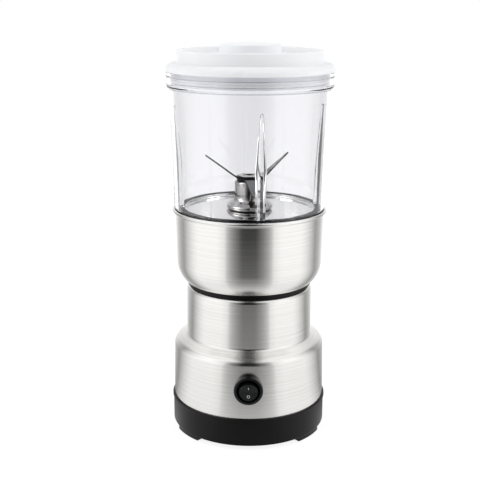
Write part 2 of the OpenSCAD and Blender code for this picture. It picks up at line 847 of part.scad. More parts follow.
module driven_coupler() {
    color([0.12, 0.12, 0.12]) difference() {
        union() {
            translate([0, 0, coupler_z + 3.6]) linear_extrude(7.2)
                spline(5, spline_r, spline_w);
            translate([0, 0, coupler_z + coupler_h + 0.6]) cylinder(r = 8.5, h = 2.4);
        }
        translate([0, 0, coupler_z + 2]) cylinder(r = shaft_r + 0.02, h = 14);
    }
}

// Side view of one bent wing from the axis out: flat to its root, then bent to its reach
function wing_side(root, reach, angle) =
    let (way = sign(angle), a = abs(angle), bend = 1.8,
         straight = (reach - root - bend * sin(a)) / cos(a),
         face = function (d) concat(
             [[0, d]],
             [for (i = [0 : 4]) let (q = a * i / 4, r = bend - way * d)
                 [root + r * sin(q), way * (bend - r * cos(q))]],
             [[root + (bend - way * d) * sin(a) + straight * cos(a),
               way * (bend - (bend - way * d) * cos(a)) + way * straight * sin(a)]]))
    concat(face(blade_t / 2), reversed(face(-blade_t / 2)));

// Pointed wing: both edges close in to a narrow tip
module pointed_plan(root, reach, w) {
    tip = 0.7;
    polygon([[0, -w / 2], [root, -w / 2], [reach - 3.5, -tip - 0.2], [reach, -tip],
             [reach - 1.2, tip], [root, w / 2], [0, w / 2]]);
}

// Broad wing: a straight back edge, a cutting edge that closes in and a slanted end
module broad_plan(root, reach, w) {
    shoulder = reach - 0.3 * (reach - root);
    polygon([[0, -w / 2], [root, -w / 2], [shoulder, 2.4 - w / 2], [reach, w / 2 - 3.4],
             [reach - 1, w / 2 - 2.2], [root, w / 2], [0, w / 2]]);
}

// One wing of a blade, along +X, with the plan given as a child
module wing(root, reach, angle) {
    intersection() {
        rotate([90, 0, 0]) linear_extrude(4 * root, center = true)
            polygon(wing_side(root, reach, angle));
        translate([0, 0, -reach]) linear_extrude(2 * reach) children();
    }
}

module blade_bore(z) {
    translate([0, 0, z - 1]) cylinder(r = sleeve_r + 0.02, h = 2 + blade_t);
}

module upper_blade() {
    z = blade_z + blade_t;
    color(steel) difference() {
        translate([0, 0, z + blade_t / 2]) rotate([0, 0, blade_turn]) {
            cylinder(r = middle_r, h = blade_t, center = true);
            wing(upper_root, short_reach, short_rise)
                pointed_plan(upper_root, short_reach, upper_w);
            rotate([0, 0, 180]) wing(upper_root, blade_reach, blade_rise)
                pointed_plan(upper_root, blade_reach, upper_w);
        }
        blade_bore(z);
    }
}

module lower_blade() {
    color(steel) difference() {
        translate([0, 0, blade_z + blade_t / 2]) around(2, blade_turn - 90)
            wing(lower_root, lower_reach, -blade_fall)
                broad_plan(lower_root, lower_reach + 1, lower_w);
        blade_bore(blade_z);
    }
}

// Spacer between the tower and the blades, with a slot across it for the lower blade
module blade_washers() {
    color(black) difference() {
        ring(washer_r, sleeve_r + 0.02, washer_z, washer_h + blade_t - 0.02);
        translate([0, 0, blade_z + blade_t]) rotate([0, 0, blade_turn])
            cube([lower_w + 0.04, 3 * washer_r, 2 * blade_t], center = true);
    }
}

// Sleeve nut: a low round head with a hexagonal socket, in which the spindle ends
module blade_nut() {
    nut_r = 7.6;
    bevel = 0.4;
    nut_top = nut_z + nut_h;
    color(steel) difference() {
        turned([[0, sleeve_z], [sleeve_r, sleeve_z], [sleeve_r, nut_z], [nut_r, nut_z],
                [nut_r, nut_top - bevel], [nut_r - bevel, nut_top], [0, nut_top]]);
        translate([0, 0, sleeve_z - 1]) cylinder(r = shaft_r + 0.02, h = 4);
        translate([0, 0, nut_top - socket_depth])
            cylinder(r = socket_r, h = socket_depth + 1, $fn = 6);
    }
}

// ---------- Lid ----------

module lid() {
    bend = 4;                  // round edge of the flange
    bend_z = jar_top + 1.3;
    shoulder = bend_z + bend;
    wall_in = lid_r - 2.4;
    color([0.93, 0.93, 0.95]) turned(concat(
        [[lid_flange_r, jar_top]],
        arc([lid_flange_r - bend, bend_z], bend, 0, 90),
        [[lid_r + 0.6, shoulder], [lid_r, shoulder + 0.8]],
        arc([lid_r - 0.8, lid_top - 0.8], 0.8, 0, 90, 4),
        [[recess_r + 0.4, lid_top], [recess_r, lid_top - 0.4], [recess_r, recess_z],
         [filler_r, recess_z], [filler_r, recess_z - 4], [filler_r + 1.6, recess_z - 4],
         [filler_r + 1.6, recess_z - 2], [wall_in, recess_z - 2],
         [wall_in, shoulder - 2.2], [plug_r - 1.8, jar_top + 1],
         [plug_r - 1.8, plug_z], [plug_r - 0.4, plug_z], [plug_r, plug_z + 0.6],
         [plug_r, gasket_z], [plug_r - 1, gasket_z], [plug_r - 1, gasket_z + gasket_h],
         [plug_r, gasket_z + gasket_h], [plug_r, jar_top]]));
}

// Gasket in the plug's groove, with two soft lips
module lid_gasket() {
    lip_r = plug_r + 0.25;
    low = gasket_z + 0.1;
    high = gasket_z + gasket_h - 0.1;
    middle = (low + high) / 2;
    color([0.9, 0.9, 0.88]) turned([[plug_r - 0.95, low], [lip_r, low + 0.2],
        [lip_r, middle - 0.6], [plug_r - 0.2, middle], [lip_r, middle + 0.6],
        [lip_r, high - 0.2], [plug_r - 0.95, high]]);
}

module filler_cap() {
    color([0.93, 0.93, 0.95]) turned(concat(
        [[0, cap_top - 2], [cap_r - 2, cap_top - 2], [cap_r - 2, recess_z + 2],
         [filler_r - 2.2, recess_z + 2], [filler_r - 2.2, recess_z - 5.5],
         [filler_r - 0.8, recess_z - 5.5], [filler_r - 0.4, recess_z - 4.8],
         [filler_r - 0.4, recess_z], [cap_r, recess_z]],
        arc([cap_r - 0.6, cap_top - 0.6], 0.6, 0, 90, 4), [[0, cap_top]]));
}

base_cover();
foot_pads();
base_screws();
housing();
cup_seat();
cord_inlet();
switch_body();
switch_terminals();
switch_rocker();
stator_core();
field_coils();
lower_bracket();
upper_bracket();
lower_bush();
upper_bush();
brush_holders();
brushes();
brush_springs();
motor_mounts();
motor_screws();
motor_shaft();
armature_core();
armature_windings();
commutator();
cooling_fan();
drive_coupler();
jar_base_shell();
jar_foot();
jar_holder();
jar_screws();
jar_seal();
plate_seal();
floor_plate();
blade_hub();
hub_nut();
spindle_bushes();
clear_jar();
blade_spindle();
driven_coupler();
lower_blade();
upper_blade();
blade_washers();
blade_nut();
lid();
lid_gasket();
filler_cap();
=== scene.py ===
"""Looks of an electric spice grinder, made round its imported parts.

The outer pieces that a buyer sees are modelled again here with fine curves, at the places that the
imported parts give, and every piece gets the finish of its real material. Lengths in the profiles
are millimetres, and MM turns them into Blender's metres. The upright axis of the grinder is the
world's Z axis, and the switch side faces -Y.
"""
import json
import logging
import math
from dataclasses import dataclass
from enum import Enum
from typing import Any, Callable, ClassVar, NamedTuple, Sequence

import bmesh
import bpy
from mathutils import Matrix, Vector


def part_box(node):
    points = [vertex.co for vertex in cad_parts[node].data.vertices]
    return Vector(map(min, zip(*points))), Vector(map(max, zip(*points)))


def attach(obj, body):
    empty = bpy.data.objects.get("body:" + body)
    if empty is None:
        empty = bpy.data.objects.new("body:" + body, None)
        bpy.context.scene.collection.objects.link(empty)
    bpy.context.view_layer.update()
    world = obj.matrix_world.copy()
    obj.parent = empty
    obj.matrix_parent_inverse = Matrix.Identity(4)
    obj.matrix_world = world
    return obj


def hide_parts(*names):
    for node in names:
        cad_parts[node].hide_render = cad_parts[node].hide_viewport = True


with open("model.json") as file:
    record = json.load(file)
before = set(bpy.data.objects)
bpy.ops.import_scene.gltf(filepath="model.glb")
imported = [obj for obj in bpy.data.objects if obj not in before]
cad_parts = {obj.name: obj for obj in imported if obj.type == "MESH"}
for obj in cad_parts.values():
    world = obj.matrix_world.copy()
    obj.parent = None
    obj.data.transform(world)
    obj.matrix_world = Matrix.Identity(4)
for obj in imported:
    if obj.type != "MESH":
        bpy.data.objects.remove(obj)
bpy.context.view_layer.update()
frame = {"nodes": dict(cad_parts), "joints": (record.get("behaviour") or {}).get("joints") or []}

log = logging.getLogger("grinder")

MM = 0.001
FULL_TURN = 2 * math.pi
UP = (0.0, 0.0, 1.0)
FINE = 192  # steps round a large turned piece
MEDIUM = 96
COARSE = 48
SHARP = math.radians(32)  # edges that turn more than this stay crisp
HAIR = 0.01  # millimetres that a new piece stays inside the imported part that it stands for
ROUNDING_STEPS = 5  # facets across a rounded corner of a profile
SUPPORT = 0.25 * MM  # how far from a corner an extra point keeps its shading crisp
SAME_POINT = 1e-7  # points closer than this are one, in metres
NO_LENGTH = 1e-8  # edges shorter than this are removed, in metres


# ---------------------------------------------------------------- mesh helpers


class Corner(NamedTuple):
    """A corner of a turned profile.

    Attributes:
        r: Distance from the axis, in millimetres.
        z: Height, in millimetres.
        ease: How far the rounding of this corner reaches along its two sides, in millimetres.
    """

    r: float
    z: float
    ease: float = 0.0


class Change(Enum):
    """What a second closed piece does to the one that is kept."""

    ADD = "UNION"
    CUT = "DIFFERENCE"


def arc(r: float, z: float, radius: float, start: float, end: float, steps: int) -> list[Corner]:
    """Returns the corners along a round stretch of a profile.

    Args:
        r: Distance of the arc's centre from the axis.
        z: Height of the arc's centre.
        radius: Radius of the arc.
        start: First angle in degrees, 0 pointing away from the axis and 90 up.
        end: Last angle in degrees.
        steps: Number of straight steps.

    Returns:
        The corners, the two ends included.
    """
    angles = [math.radians(start + (end - start) * i / steps) for i in range(steps + 1)]
    return [Corner(r + radius * math.cos(a), z + radius * math.sin(a)) for a in angles]


def bounds_mm(node: str) -> tuple[Vector, Vector]:
    """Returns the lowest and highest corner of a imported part, in millimetres."""
    low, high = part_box(node)
    return low / MM, high / MM


def shift(x: float, y: float, z: float) -> Matrix:
    """Returns the matrix of a move that is given in millimetres."""
    return Matrix.Translation((x * MM, y * MM, z * MM))


def rotation(degrees: float, axis: str = "Z") -> Matrix:
    """Returns the matrix of a turn about an axis through the origin."""
    return Matrix.Rotation(math.radians(degrees), 4, axis)


def move(mesh: bmesh.types.BMesh, matrix: Matrix) -> bmesh.types.BMesh:
    """Moves all of a mesh by a matrix and returns it."""
    bmesh.ops.transform(mesh, matrix=matrix, verts=mesh.verts)
    return mesh


def draw_profile(mesh: bmesh.types.BMesh, corners: Sequence[Corner], closed: bool) -> None:
    """Draws a profile as wire edges in the XZ plane, rounds its corners and adds support points.

    Args:
        mesh: The empty mesh to draw in.
        corners: The profile's corners in order.
        closed: Whether the last corner joins the first.
    """
    points = [mesh.verts.new((c.r * MM, 0.0, c.z * MM)) for c in corners]
    ends = points[1:] + points[:1] if closed else points[1:]
    for first, second in zip(points, ends):
        mesh.edges.new((first, second))
    for point, corner in zip(points, corners):
        if corner.ease:
            bmesh.ops.bevel(mesh, geom=[point], offset=corner.ease * MM, offset_type="OFFSET",
                            segments=ROUNDING_STEPS, profile=0.5, affect="VERTICES", material=-1)
    for edge in list(mesh.edges):
        length = edge.calc_length()
        if length > 5 * SUPPORT:
            first, second = edge.verts
            bmesh.utils.edge_split(edge, first, SUPPORT / length)
            bmesh.utils.edge_split(edge, second, SUPPORT / (length - SUPPORT))


def shaded(piece: bpy.types.Object) -> bpy.types.Object:
    """Links a piece to the scene where needed and shades it smooth between its crisp edges.

    Args:
        piece: The piece.

    Returns:
        The same piece.
    """
    if piece.name not in bpy.context.scene.collection.objects:
        bpy.context.scene.collection.objects.link(piece)
    piece.data.shade_smooth()
    piece.data.set_sharp_from_angle(angle=SHARP)
    return piece


def finish_mesh(mesh: bmesh.types.BMesh, name: str) -> bpy.types.Object:
    """Turns a bmesh into a smooth-shaded object at the origin and frees it.

    Args:
        mesh: The finished mesh, in metres.
        name: Name of the new piece.

    Returns:
        The new object, linked to the scene.
    """
    data = bpy.data.meshes.new(name)
    mesh.to_mesh(data)
    mesh.free()
    return shaded(bpy.data.objects.new(name, data))


def tidy(mesh: bmesh.types.BMesh) -> None:
    """Merges doubles and points every face outwards.

    Args:
        mesh: The mesh to change.
    """
    bmesh.ops.remove_doubles(mesh, verts=mesh.verts, dist=SAME_POINT)
    bmesh.ops.dissolve_degenerate(mesh, edges=mesh.edges, dist=NO_LENGTH)
    bmesh.ops.recalc_face_normals(mesh, faces=mesh.faces)


def spun(corners: Sequence[Corner], steps: int) -> bmesh.types.BMesh:
    """Returns a full turn of a profile about the Z axis.

    Args:
        corners: The profile. It closes by itself unless both its ends lie on the axis.
        steps: Number of steps round the axis.

    Returns:
        A closed mesh with outward faces.
    """
    mesh = bmesh.new()
    closed = corners[0].r > 0 or corners[-1].r > 0
    draw_profile(mesh, corners, closed)
    bmesh.ops.spin(mesh, geom=mesh.verts[:] + mesh.edges[:], cent=(0, 0, 0), axis=UP,
                   angle=FULL_TURN, steps=steps, use_merge=True, use_duplicate=False)
    tidy(mesh)
    return mesh


def turned(name: str, corners: Sequence[Corner], steps: int = FINE) -> bpy.types.Object:
    """Returns a turned piece as a smooth-shaded object.

    Args:
        name: Name of the piece.
        corners: Its half profile.
        steps: Number of steps round the axis.

    Returns:
        The new object.
    """
    return finish_mesh(spun(corners, steps), name)


def rod(radius: float, length: float, sides: int = MEDIUM) -> bmesh.types.BMesh:
    """Returns an upright rod, with its middle at the origin.

    Args:
        radius: Its radius in millimetres, out to the corners where it has few sides.
        length: Its length in millimetres.
        sides: Number of its sides.

    Returns:
        A closed mesh.
    """
    mesh = bmesh.new()
    bmesh.ops.create_cone(mesh, cap_ends=True, segments=sides, radius1=radius * MM,
                          radius2=radius * MM, depth=length * MM)
    return mesh


def block(width: float, depth: float, height: float) -> bmesh.types.BMesh:
    """Returns a block with its middle at the origin.

    Args:
        width: Its size along X in millimetres.
        depth: Its size along Y.
        height: Its size along Z.

    Returns:
        A closed mesh.
    """
    mesh = bmesh.new()
    bmesh.ops.create_cube(mesh, size=1.0)
    bmesh.ops.scale(mesh, verts=mesh.verts, vec=Vector((width, depth, height)) * MM)
    return mesh


def joined(parts: Sequence[bmesh.types.BMesh]) -> bmesh.types.BMesh:
    """Returns one bmesh that holds all the given ones, and frees them.

    Args:
        parts: The meshes to join.

    Returns:
        The new mesh.
    """
    whole = bmesh.new()
    for part in parts:
        holder = bpy.data.meshes.new("part")
        part.to_mesh(holder)
        part.free()
        whole.from_mesh(holder)
        bpy.data.meshes.remove(holder)
    return whole


def combine(piece: bpy.types.Object, tool: bpy.types.Object, change: Change) -> bpy.types.Object:
    """Adds a closed piece to another or cuts it out of it, and removes the tool.

    Args:
        piece: The piece that is kept.
        tool: The piece that cuts it or is added to it.
        change: Whether the tool adds or cuts.

    Returns:
        The piece with its new mesh.
    """
    step = piece.modifiers.new("combine", "BOOLEAN")
    step.object = tool
    step.operation = change.value
    step.solver = "EXACT"
    bpy.context.view_layer.update()
    evaluated = piece.evaluated_get(bpy.context.evaluated_depsgraph_get())
    result = bpy.data.meshes.new_from_object(evaluated)
    piece.modifiers.clear()
    old = piece.data
    piece.data = result
    result.name = piece.name
    bpy.data.meshes.remove(old)
    bpy.data.objects.remove(tool)
    return shaded(piece)


def round_edges(mesh: bmesh.types.BMesh, size_mm: float, segments: int,
                keep: Callable[[bmesh.types.BMEdge], bool] = lambda edge: True) -> None:
    """Bevels every crisp edge that the test keeps.

    Args:
        mesh: The mesh to change.
        size_mm: Width of the bevel.
        segments: Number of facets across it.
        keep: Says whether an edge is bevelled.
    """
    edges = [e for e in mesh.edges if e.is_manifold and e.calc_face_angle() > SHARP and keep(e)]
    bmesh.ops.bevel(mesh, geom=edges, offset=size_mm * MM, offset_type="OFFSET", segments=segments,
                    profile=0.5, affect="EDGES", material=-1, clamp_overlap=True)


# ---------------------------------------------------------------- finishes

# sockets of a Mix node that mixes colours
MIX_FACTOR, MIX_FIRST, MIX_SECOND, MIX_RESULT = 0, 6, 7, 2


def linear(colour: str) -> tuple[float, float, float, float]:
    """Turns an sRGB hex colour into Blender's linear colour.

    Args:
        colour: The colour, such as "#8A9BA8".

    Returns:
        Red, green, blue and an alpha of 1.
    """
    parts = [int(colour[i:i + 2], 16) / 255 for i in (1, 3, 5)]
    straight = [v / 12.92 if v <= 0.04045 else ((v + 0.055) / 1.055) ** 2.4 for v in parts]
    return (*straight, 1.0)


def add_node(tree: bpy.types.NodeTree, kind: str, values: dict[Any, Any] | None = None,
             links: dict[Any, bpy.types.NodeSocket] | None = None, **settings: Any) -> bpy.types.Node:
    """Adds a node with its settings, socket values and links.

    Args:
        tree: The node tree.
        kind: Blender's name for the kind of node.
        values: Values for input sockets, by name or number.
        links: Outputs that feed input sockets, by name or number.
        **settings: Attributes of the node itself.

    Returns:
        The new node.
    """
    node = tree.nodes.new(kind)
    for name, value in settings.items():
        setattr(node, name, value)
    for name, value in (values or {}).items():
        node.inputs[name].default_value = value
    for name, source in (links or {}).items():
        tree.links.new(source, node.inputs[name])
    return node


def new_material(name: str) -> tuple[bpy.types.Material, bpy.types.NodeTree, bpy.types.NodeSocket]:
    """Starts a material.

    Args:
        name: Name of the material.

    Returns:
        The material, its node tree and the output that gives a point's place on the grinder.
    """
    material = bpy.data.materials.new(name)
    material.use_nodes = True
    tree = material.node_tree
    tree.nodes.clear()
    return material, tree, add_node(tree, "ShaderNodeTexCoord").outputs["Object"]


@dataclass(frozen=True)
class Steel:
    """Stainless steel sheet or bar, brushed round the grinder's axis or polished.

    Attributes:
        name: Name of the material.
        colour: Reflection colour as sRGB hex.
        valley: The duller colour in the grain's valleys.
        roughness: Roughness of the surface between its grain lines.
        stretch: How strongly the brushing smears reflections across the grain, 0 to 1.
        grain_mm: Spacing of the grain lines.
        grain_depth_mm: Depth of the grain lines.
        line_mm: Length of a grain line.
        patch_mm: Size of the soft patches that handling leaves, 28 to a metre.
        spread: How much the roughness goes up and down from place to place.
    """

    name: str
    colour: str = "#F6F5F3"
    valley: str = "#EBEAE7"
    roughness: float = 0.3
    stretch: float = 0.85
    grain_mm: float = 0.45
    grain_depth_mm: float = 0.004
    line_mm: float = 90.0
    patch_mm: float = 1000 / 28
    spread: float = 0.03

    def build(self) -> bpy.types.Material:
        """Builds the nodes: grain lines run round the axis, and reflections smear across them.

        Returns:
            The material.
        """
        material, tree, place = new_material(self.name)
        along = 1 / (self.line_mm * MM)
        across = 1 / (self.grain_mm * MM)
        lines = add_node(tree, "ShaderNodeMapping", {"Scale": (along, along, across)}, {"Vector": place})
        grain = add_node(tree, "ShaderNodeTexNoise", {"Scale": 1.0, "Detail": 4.0, "Roughness": 0.65},
                         {"Vector": lines.outputs["Vector"]})
        patches = add_node(tree, "ShaderNodeTexNoise", {"Scale": 1 / (self.patch_mm * MM), "Detail": 2.0},
                           {"Vector": place})
        uneven = add_node(tree, "ShaderNodeMath", links={0: patches.outputs["Fac"],
                          1: grain.outputs["Fac"]}, operation="ADD")
        rough = add_node(tree, "ShaderNodeMapRange", {
            "From Min": 0.6, "From Max": 1.4,
            "To Min": self.roughness - self.spread, "To Max": self.roughness + self.spread,
        }, {"Value": uneven.outputs[0]})
        bump = add_node(tree, "ShaderNodeBump", {"Strength": 0.6, "Distance": self.grain_depth_mm * MM},
                        {"Height": grain.outputs["Fac"]})
        tone = add_node(tree, "ShaderNodeMapRange", {"From Min": 0.35, "From Max": 0.65},
                        {"Value": grain.outputs["Fac"]})
        colour = add_node(tree, "ShaderNodeMix", {
            MIX_FIRST: linear(self.valley), MIX_SECOND: linear(self.colour),
        }, {MIX_FACTOR: tone.outputs[0]}, data_type="RGBA")
        around = add_node(tree, "ShaderNodeVectorMath", {0: UP}, {1: place}, operation="CROSS_PRODUCT")
        tangent = add_node(tree, "ShaderNodeVectorTransform", links={"Vector": around.outputs[0]},
                           vector_type="VECTOR", convert_from="OBJECT", convert_to="WORLD")
        # the rotation is a quarter turn, so that the smear runs across the lines
        shader = add_node(tree, "ShaderNodeBsdfPrincipled", {
            "Metallic": 1.0, "Anisotropic": self.stretch, "Anisotropic Rotation": 0.25,
        }, {
            "Base Color": colour.outputs[MIX_RESULT], "Roughness": rough.outputs[0],
            "Normal": bump.outputs["Normal"], "Tangent": tangent.outputs[0],
        })
        add_node(tree, "ShaderNodeOutputMaterial", links={"Surface": shader.outputs["BSDF"]})
        return material


@dataclass(frozen=True)
class Moulded:
    """Moulded plastic or rubber.

    Attributes:
        name: Name of the material.
        colour: Surface colour as sRGB hex.
        shade: Slightly different colour that faint patches turn to.
        roughness: Roughness of the surface.
        texture_mm: Size of the fine texture that the mould leaves.
        texture_depth_mm: Depth of that texture.
        ior: Index of refraction, which sets the gloss.
        glow: Share of light that scatters under the surface.
        glow_mm: How far that light spreads.
        patch_mm: Size of the faint patches, 22 to a metre.
        spread: How much the roughness goes up and down from place to place.
    """

    name: str
    colour: str
    shade: str
    roughness: float
    texture_mm: float = 0.5
    texture_depth_mm: float = 0.01
    ior: float = 1.5
    glow: float = 0.0
    glow_mm: float = 1.5
    patch_mm: float = 1000 / 22
    spread: float = 0.04

    def build(self) -> bpy.types.Material:
        """Builds the nodes: a fine texture all over and faint patches in colour and gloss.

        Returns:
            The material.
        """
        material, tree, place = new_material(self.name)
        texture = add_node(tree, "ShaderNodeTexNoise", {"Scale": 1 / (self.texture_mm * MM), "Detail": 2.0},
                           {"Vector": place})
        patches = add_node(tree, "ShaderNodeTexNoise", {"Scale": 1 / (self.patch_mm * MM), "Detail": 3.0},
                           {"Vector": place})
        colour = add_node(tree, "ShaderNodeMix", {
            MIX_FIRST: linear(self.colour), MIX_SECOND: linear(self.shade),
        }, {MIX_FACTOR: patches.outputs["Fac"]}, data_type="RGBA")
        rough = add_node(tree, "ShaderNodeMapRange", {
            "From Min": 0.3, "From Max": 0.7,
            "To Min": self.roughness - self.spread, "To Max": self.roughness + self.spread,
        }, {"Value": patches.outputs["Fac"]})
        bump = add_node(tree, "ShaderNodeBump", {"Strength": 0.5, "Distance": self.texture_depth_mm * MM},
                        {"Height": texture.outputs["Fac"]})
        scatter = {
            "Subsurface Weight": self.glow, "Subsurface Radius": (1.0, 0.95, 0.9),
            "Subsurface Scale": self.glow_mm * MM,
        } if self.glow else {}
        shader = add_node(tree, "ShaderNodeBsdfPrincipled", {"IOR": self.ior, **scatter}, {
            "Base Color": colour.outputs[MIX_RESULT], "Roughness": rough.outputs[0],
            "Normal": bump.outputs["Normal"],
        })
        add_node(tree, "ShaderNodeOutputMaterial", links={"Surface": shader.outputs["BSDF"]})
        return material


@dataclass(frozen=True)
class Clear:
    """Clear moulded plastic.

    Attributes:
        name: Name of the material.
        tint: Colour of light that has passed through, as sRGB hex.
        ior: Index of refraction.
        haze: How rough the surface gets at most.
        wave_mm: Size of the slow waves that moulding leaves in the wall, 45 to a metre.
        wave_depth_mm: Depth of those waves.
    """

    name: str
    tint: str = "#F5F5F7"
    ior: float = 1.49
    haze: float = 0.015
    wave_mm: float = 1000 / 45
    wave_depth_mm: float = 0.02

    def build(self) -> bpy.types.Material:
        """Builds the nodes: clear plastic that casts no hard shadow.

        Returns:
            The material.
        """
        material, tree, place = new_material(self.name)
        waves = add_node(tree, "ShaderNodeTexNoise", {"Scale": 1 / (self.wave_mm * MM), "Detail": 1.0},
                         {"Vector": place})
        bump = add_node(tree, "ShaderNodeBump", {"Strength": 0.4, "Distance": self.wave_depth_mm * MM},
                        {"Height": waves.outputs["Fac"]})
        rough = add_node(tree, "ShaderNodeMapRange", {
            "From Min": 0.3, "From Max": 0.7, "To Min": 0.0, "To Max": self.haze,
        }, {"Value": waves.outputs["Fac"]})
        shader = add_node(tree, "ShaderNodeBsdfPrincipled", {
            "Base Color": linear(self.tint), "IOR": self.ior, "Transmission Weight": 1.0,
        }, {"Normal": bump.outputs["Normal"], "Roughness": rough.outputs[0]})
        # light that falls on matt surfaces, straight from a lamp or not, goes through the wall unbent
        path = add_node(tree, "ShaderNodeLightPath")
        passes = add_node(tree, "ShaderNodeMath", links={0: path.outputs["Is Shadow Ray"],
                          1: path.outputs["Is Diffuse Ray"]}, operation="MAXIMUM")
        film = add_node(tree, "ShaderNodeBsdfTransparent", {"Color": linear(self.tint)})
        wall = add_node(tree, "ShaderNodeMixShader", links={0: passes.outputs[0],
                        1: shader.outputs["BSDF"], 2: film.outputs["BSDF"]})
        add_node(tree, "ShaderNodeOutputMaterial", links={"Surface": wall.outputs[0]})
        return material


@dataclass(frozen=True)
class Layered:
    """Metal made of many thin level layers or wires, such as stacked laminations or a winding.

    Attributes:
        name: Name of the material.
        light: Colour of the layers as sRGB hex.
        dark: Colour of the gaps between them.
        spacing_mm: Distance from one layer to the next.
        metallic: How metallic the surface is.
        roughness: Roughness of the surface.
    """

    name: str
    light: str
    dark: str
    spacing_mm: float
    metallic: float
    roughness: float

    def build(self) -> bpy.types.Material:
        """Builds the nodes: level lines in colour and height.

        Returns:
            The material.
        """
        material, tree, place = new_material(self.name)
        # Blender's wave texture repeats every 2 pi / 20 / scale
        scale = FULL_TURN / 20 / (self.spacing_mm * MM)
        waves = add_node(tree, "ShaderNodeTexWave", {"Scale": scale, "Distortion": 0.3, "Detail": 1.0},
                         {"Vector": place}, wave_type="BANDS", bands_direction="Z")
        colour = add_node(tree, "ShaderNodeMix", {
            MIX_FIRST: linear(self.dark), MIX_SECOND: linear(self.light),
        }, {MIX_FACTOR: waves.outputs["Fac"]}, data_type="RGBA")
        bump = add_node(tree, "ShaderNodeBump", {"Strength": 0.7, "Distance": 0.1 * self.spacing_mm * MM},
                        {"Height": waves.outputs["Fac"]})
        shader = add_node(tree, "ShaderNodeBsdfPrincipled", {
            "Metallic": self.metallic, "Roughness": self.roughness,
        }, {"Base Color": colour.outputs[MIX_RESULT], "Normal": bump.outputs["Normal"]})
        add_node(tree, "ShaderNodeOutputMaterial", links={"Surface": shader.outputs["BSDF"]})
        return material


class Finish(Enum):
    """Every finish of the grinder."""

    # 430 stainless, deep drawn and brushed on a lathe: soft upright bands of light
    BRUSHED_STAINLESS = Steel("brushed_stainless", roughness=0.19, stretch=0.8)
    # 304 stainless turned and polished: sharper bands and fine turning marks
    TURNED_STAINLESS = Steel("turned_stainless", colour="#D2D0CD", valley="#C4C2BF", roughness=0.11,
                             stretch=0.5, grain_mm=0.3, grain_depth_mm=0.0015)
    # 304 sheet with a mirror finish: it shows the tower upside down
    MIRROR_STAINLESS = Steel("mirror_stainless", colour="#E3E3E2", valley="#DDDDDC", roughness=0.08,
                             stretch=0.0, grain_mm=0.3, grain_depth_mm=0.0006)
    # blade steel, ground and tumbled: a satin grey
    BLADE_STEEL = Steel("ground_blade_steel", colour="#A5A4A2", valley="#979694", roughness=0.13,
                        stretch=0.3, grain_mm=0.35, grain_depth_mm=0.002)
    # painted shade: dark steel on the blades' side edges and inside the nut's socket, standing in for the
    # shade there and the dark surround the edges reflect
    PAINTED_SHADE_STEEL = Steel("painted_shade_steel", colour="#2A2A29", valley="#1E1E1D", roughness=0.3,
                     stretch=0.3, grain_mm=0.35, grain_depth_mm=0.002)
    # ABS from a fine spark-eroded mould: near black with a silky sheen
    BLACK_ABS = Moulded("black_abs", "#060607", "#090909", roughness=0.34, texture_mm=0.45, ior=1.29)
    # the switch is harder and glossier nylon
    SWITCH_NYLON = Moulded("switch_nylon", "#08090A", "#0C0D0E", roughness=0.22, texture_mm=0.3,
                           texture_depth_mm=0.006, ior=1.42)
    # nitrile rubber: matt black
    BLACK_RUBBER = Moulded("black_rubber", "#040404", "#070707", roughness=0.6, texture_mm=0.7,
                           texture_depth_mm=0.015, ior=1.12)
    # polypropylene lid: cool white, softly glossy, light bleeds into its edges
    WHITE_LID = Moulded("white_polypropylene", "#F1F2F5", "#F5F6F8", roughness=0.3, texture_mm=0.6,
                        texture_depth_mm=0.006, glow=0.15)
    # silicone gasket: milky
    WHITE_SILICONE = Moulded("white_silicone", "#F2F2F1", "#F6F6F5", roughness=0.45, texture_mm=0.8,
                             glow=0.3)
    # printed mark on the rocker: light grey ink
    GREY_INK = Moulded("grey_ink", "#A9ACAE", "#B4B6B8", roughness=0.5, texture_mm=0.2,
                       texture_depth_mm=0.002)
    # nylon coupling: off-white, a little waxy
    NATURAL_NYLON = Moulded("natural_nylon", "#DEDCD3", "#E5E3DB", roughness=0.4, glow=0.1)
    # fan: plain dark grey plastic
    DARK_NYLON = Moulded("dark_nylon", "#2B2C2E", "#333436", roughness=0.45)
    # carbon brush: sooty black block
    CARBON = Moulded("pressed_carbon", "#202020", "#2A2A2A", roughness=0.7, texture_mm=0.3,
                     texture_depth_mm=0.02)
    # styrene-acrylonitrile jar: clear as glass with slow moulding waves
    CLEAR_SAN = Clear("clear_san")
    # enamelled copper wire in tidy turns
    COPPER = Layered("enamelled_copper", "#B5652F", "#6E3515", spacing_mm=0.5, metallic=0.7,
                     roughness=0.32)
    # stacked electrical steel
    LAMINATIONS = Layered("laminated_steel", "#8D8F93", "#4B4C4F", spacing_mm=0.5, metallic=0.8,
                          roughness=0.42)
    # sintered bronze bush
    BRONZE = Layered("sintered_bronze", "#A9864B", "#8E6D38", spacing_mm=0.8, metallic=0.9,
                     roughness=0.45)
    # brass pressing
    BRASS = Layered("pressed_brass", "#CDAE62", "#B99848", spacing_mm=2.5, metallic=1.0, roughness=0.3)
    # die-cast zinc-aluminium bracket
    DIE_CAST = Layered("die_cast", "#B9B8B4", "#A9A8A4", spacing_mm=3.0, metallic=0.9, roughness=0.5)
    # black zinc on screws
    BLACK_ZINC = Layered("black_zinc", "#4A4B4E", "#333437", spacing_mm=0.6, metallic=0.9,
                         roughness=0.38)


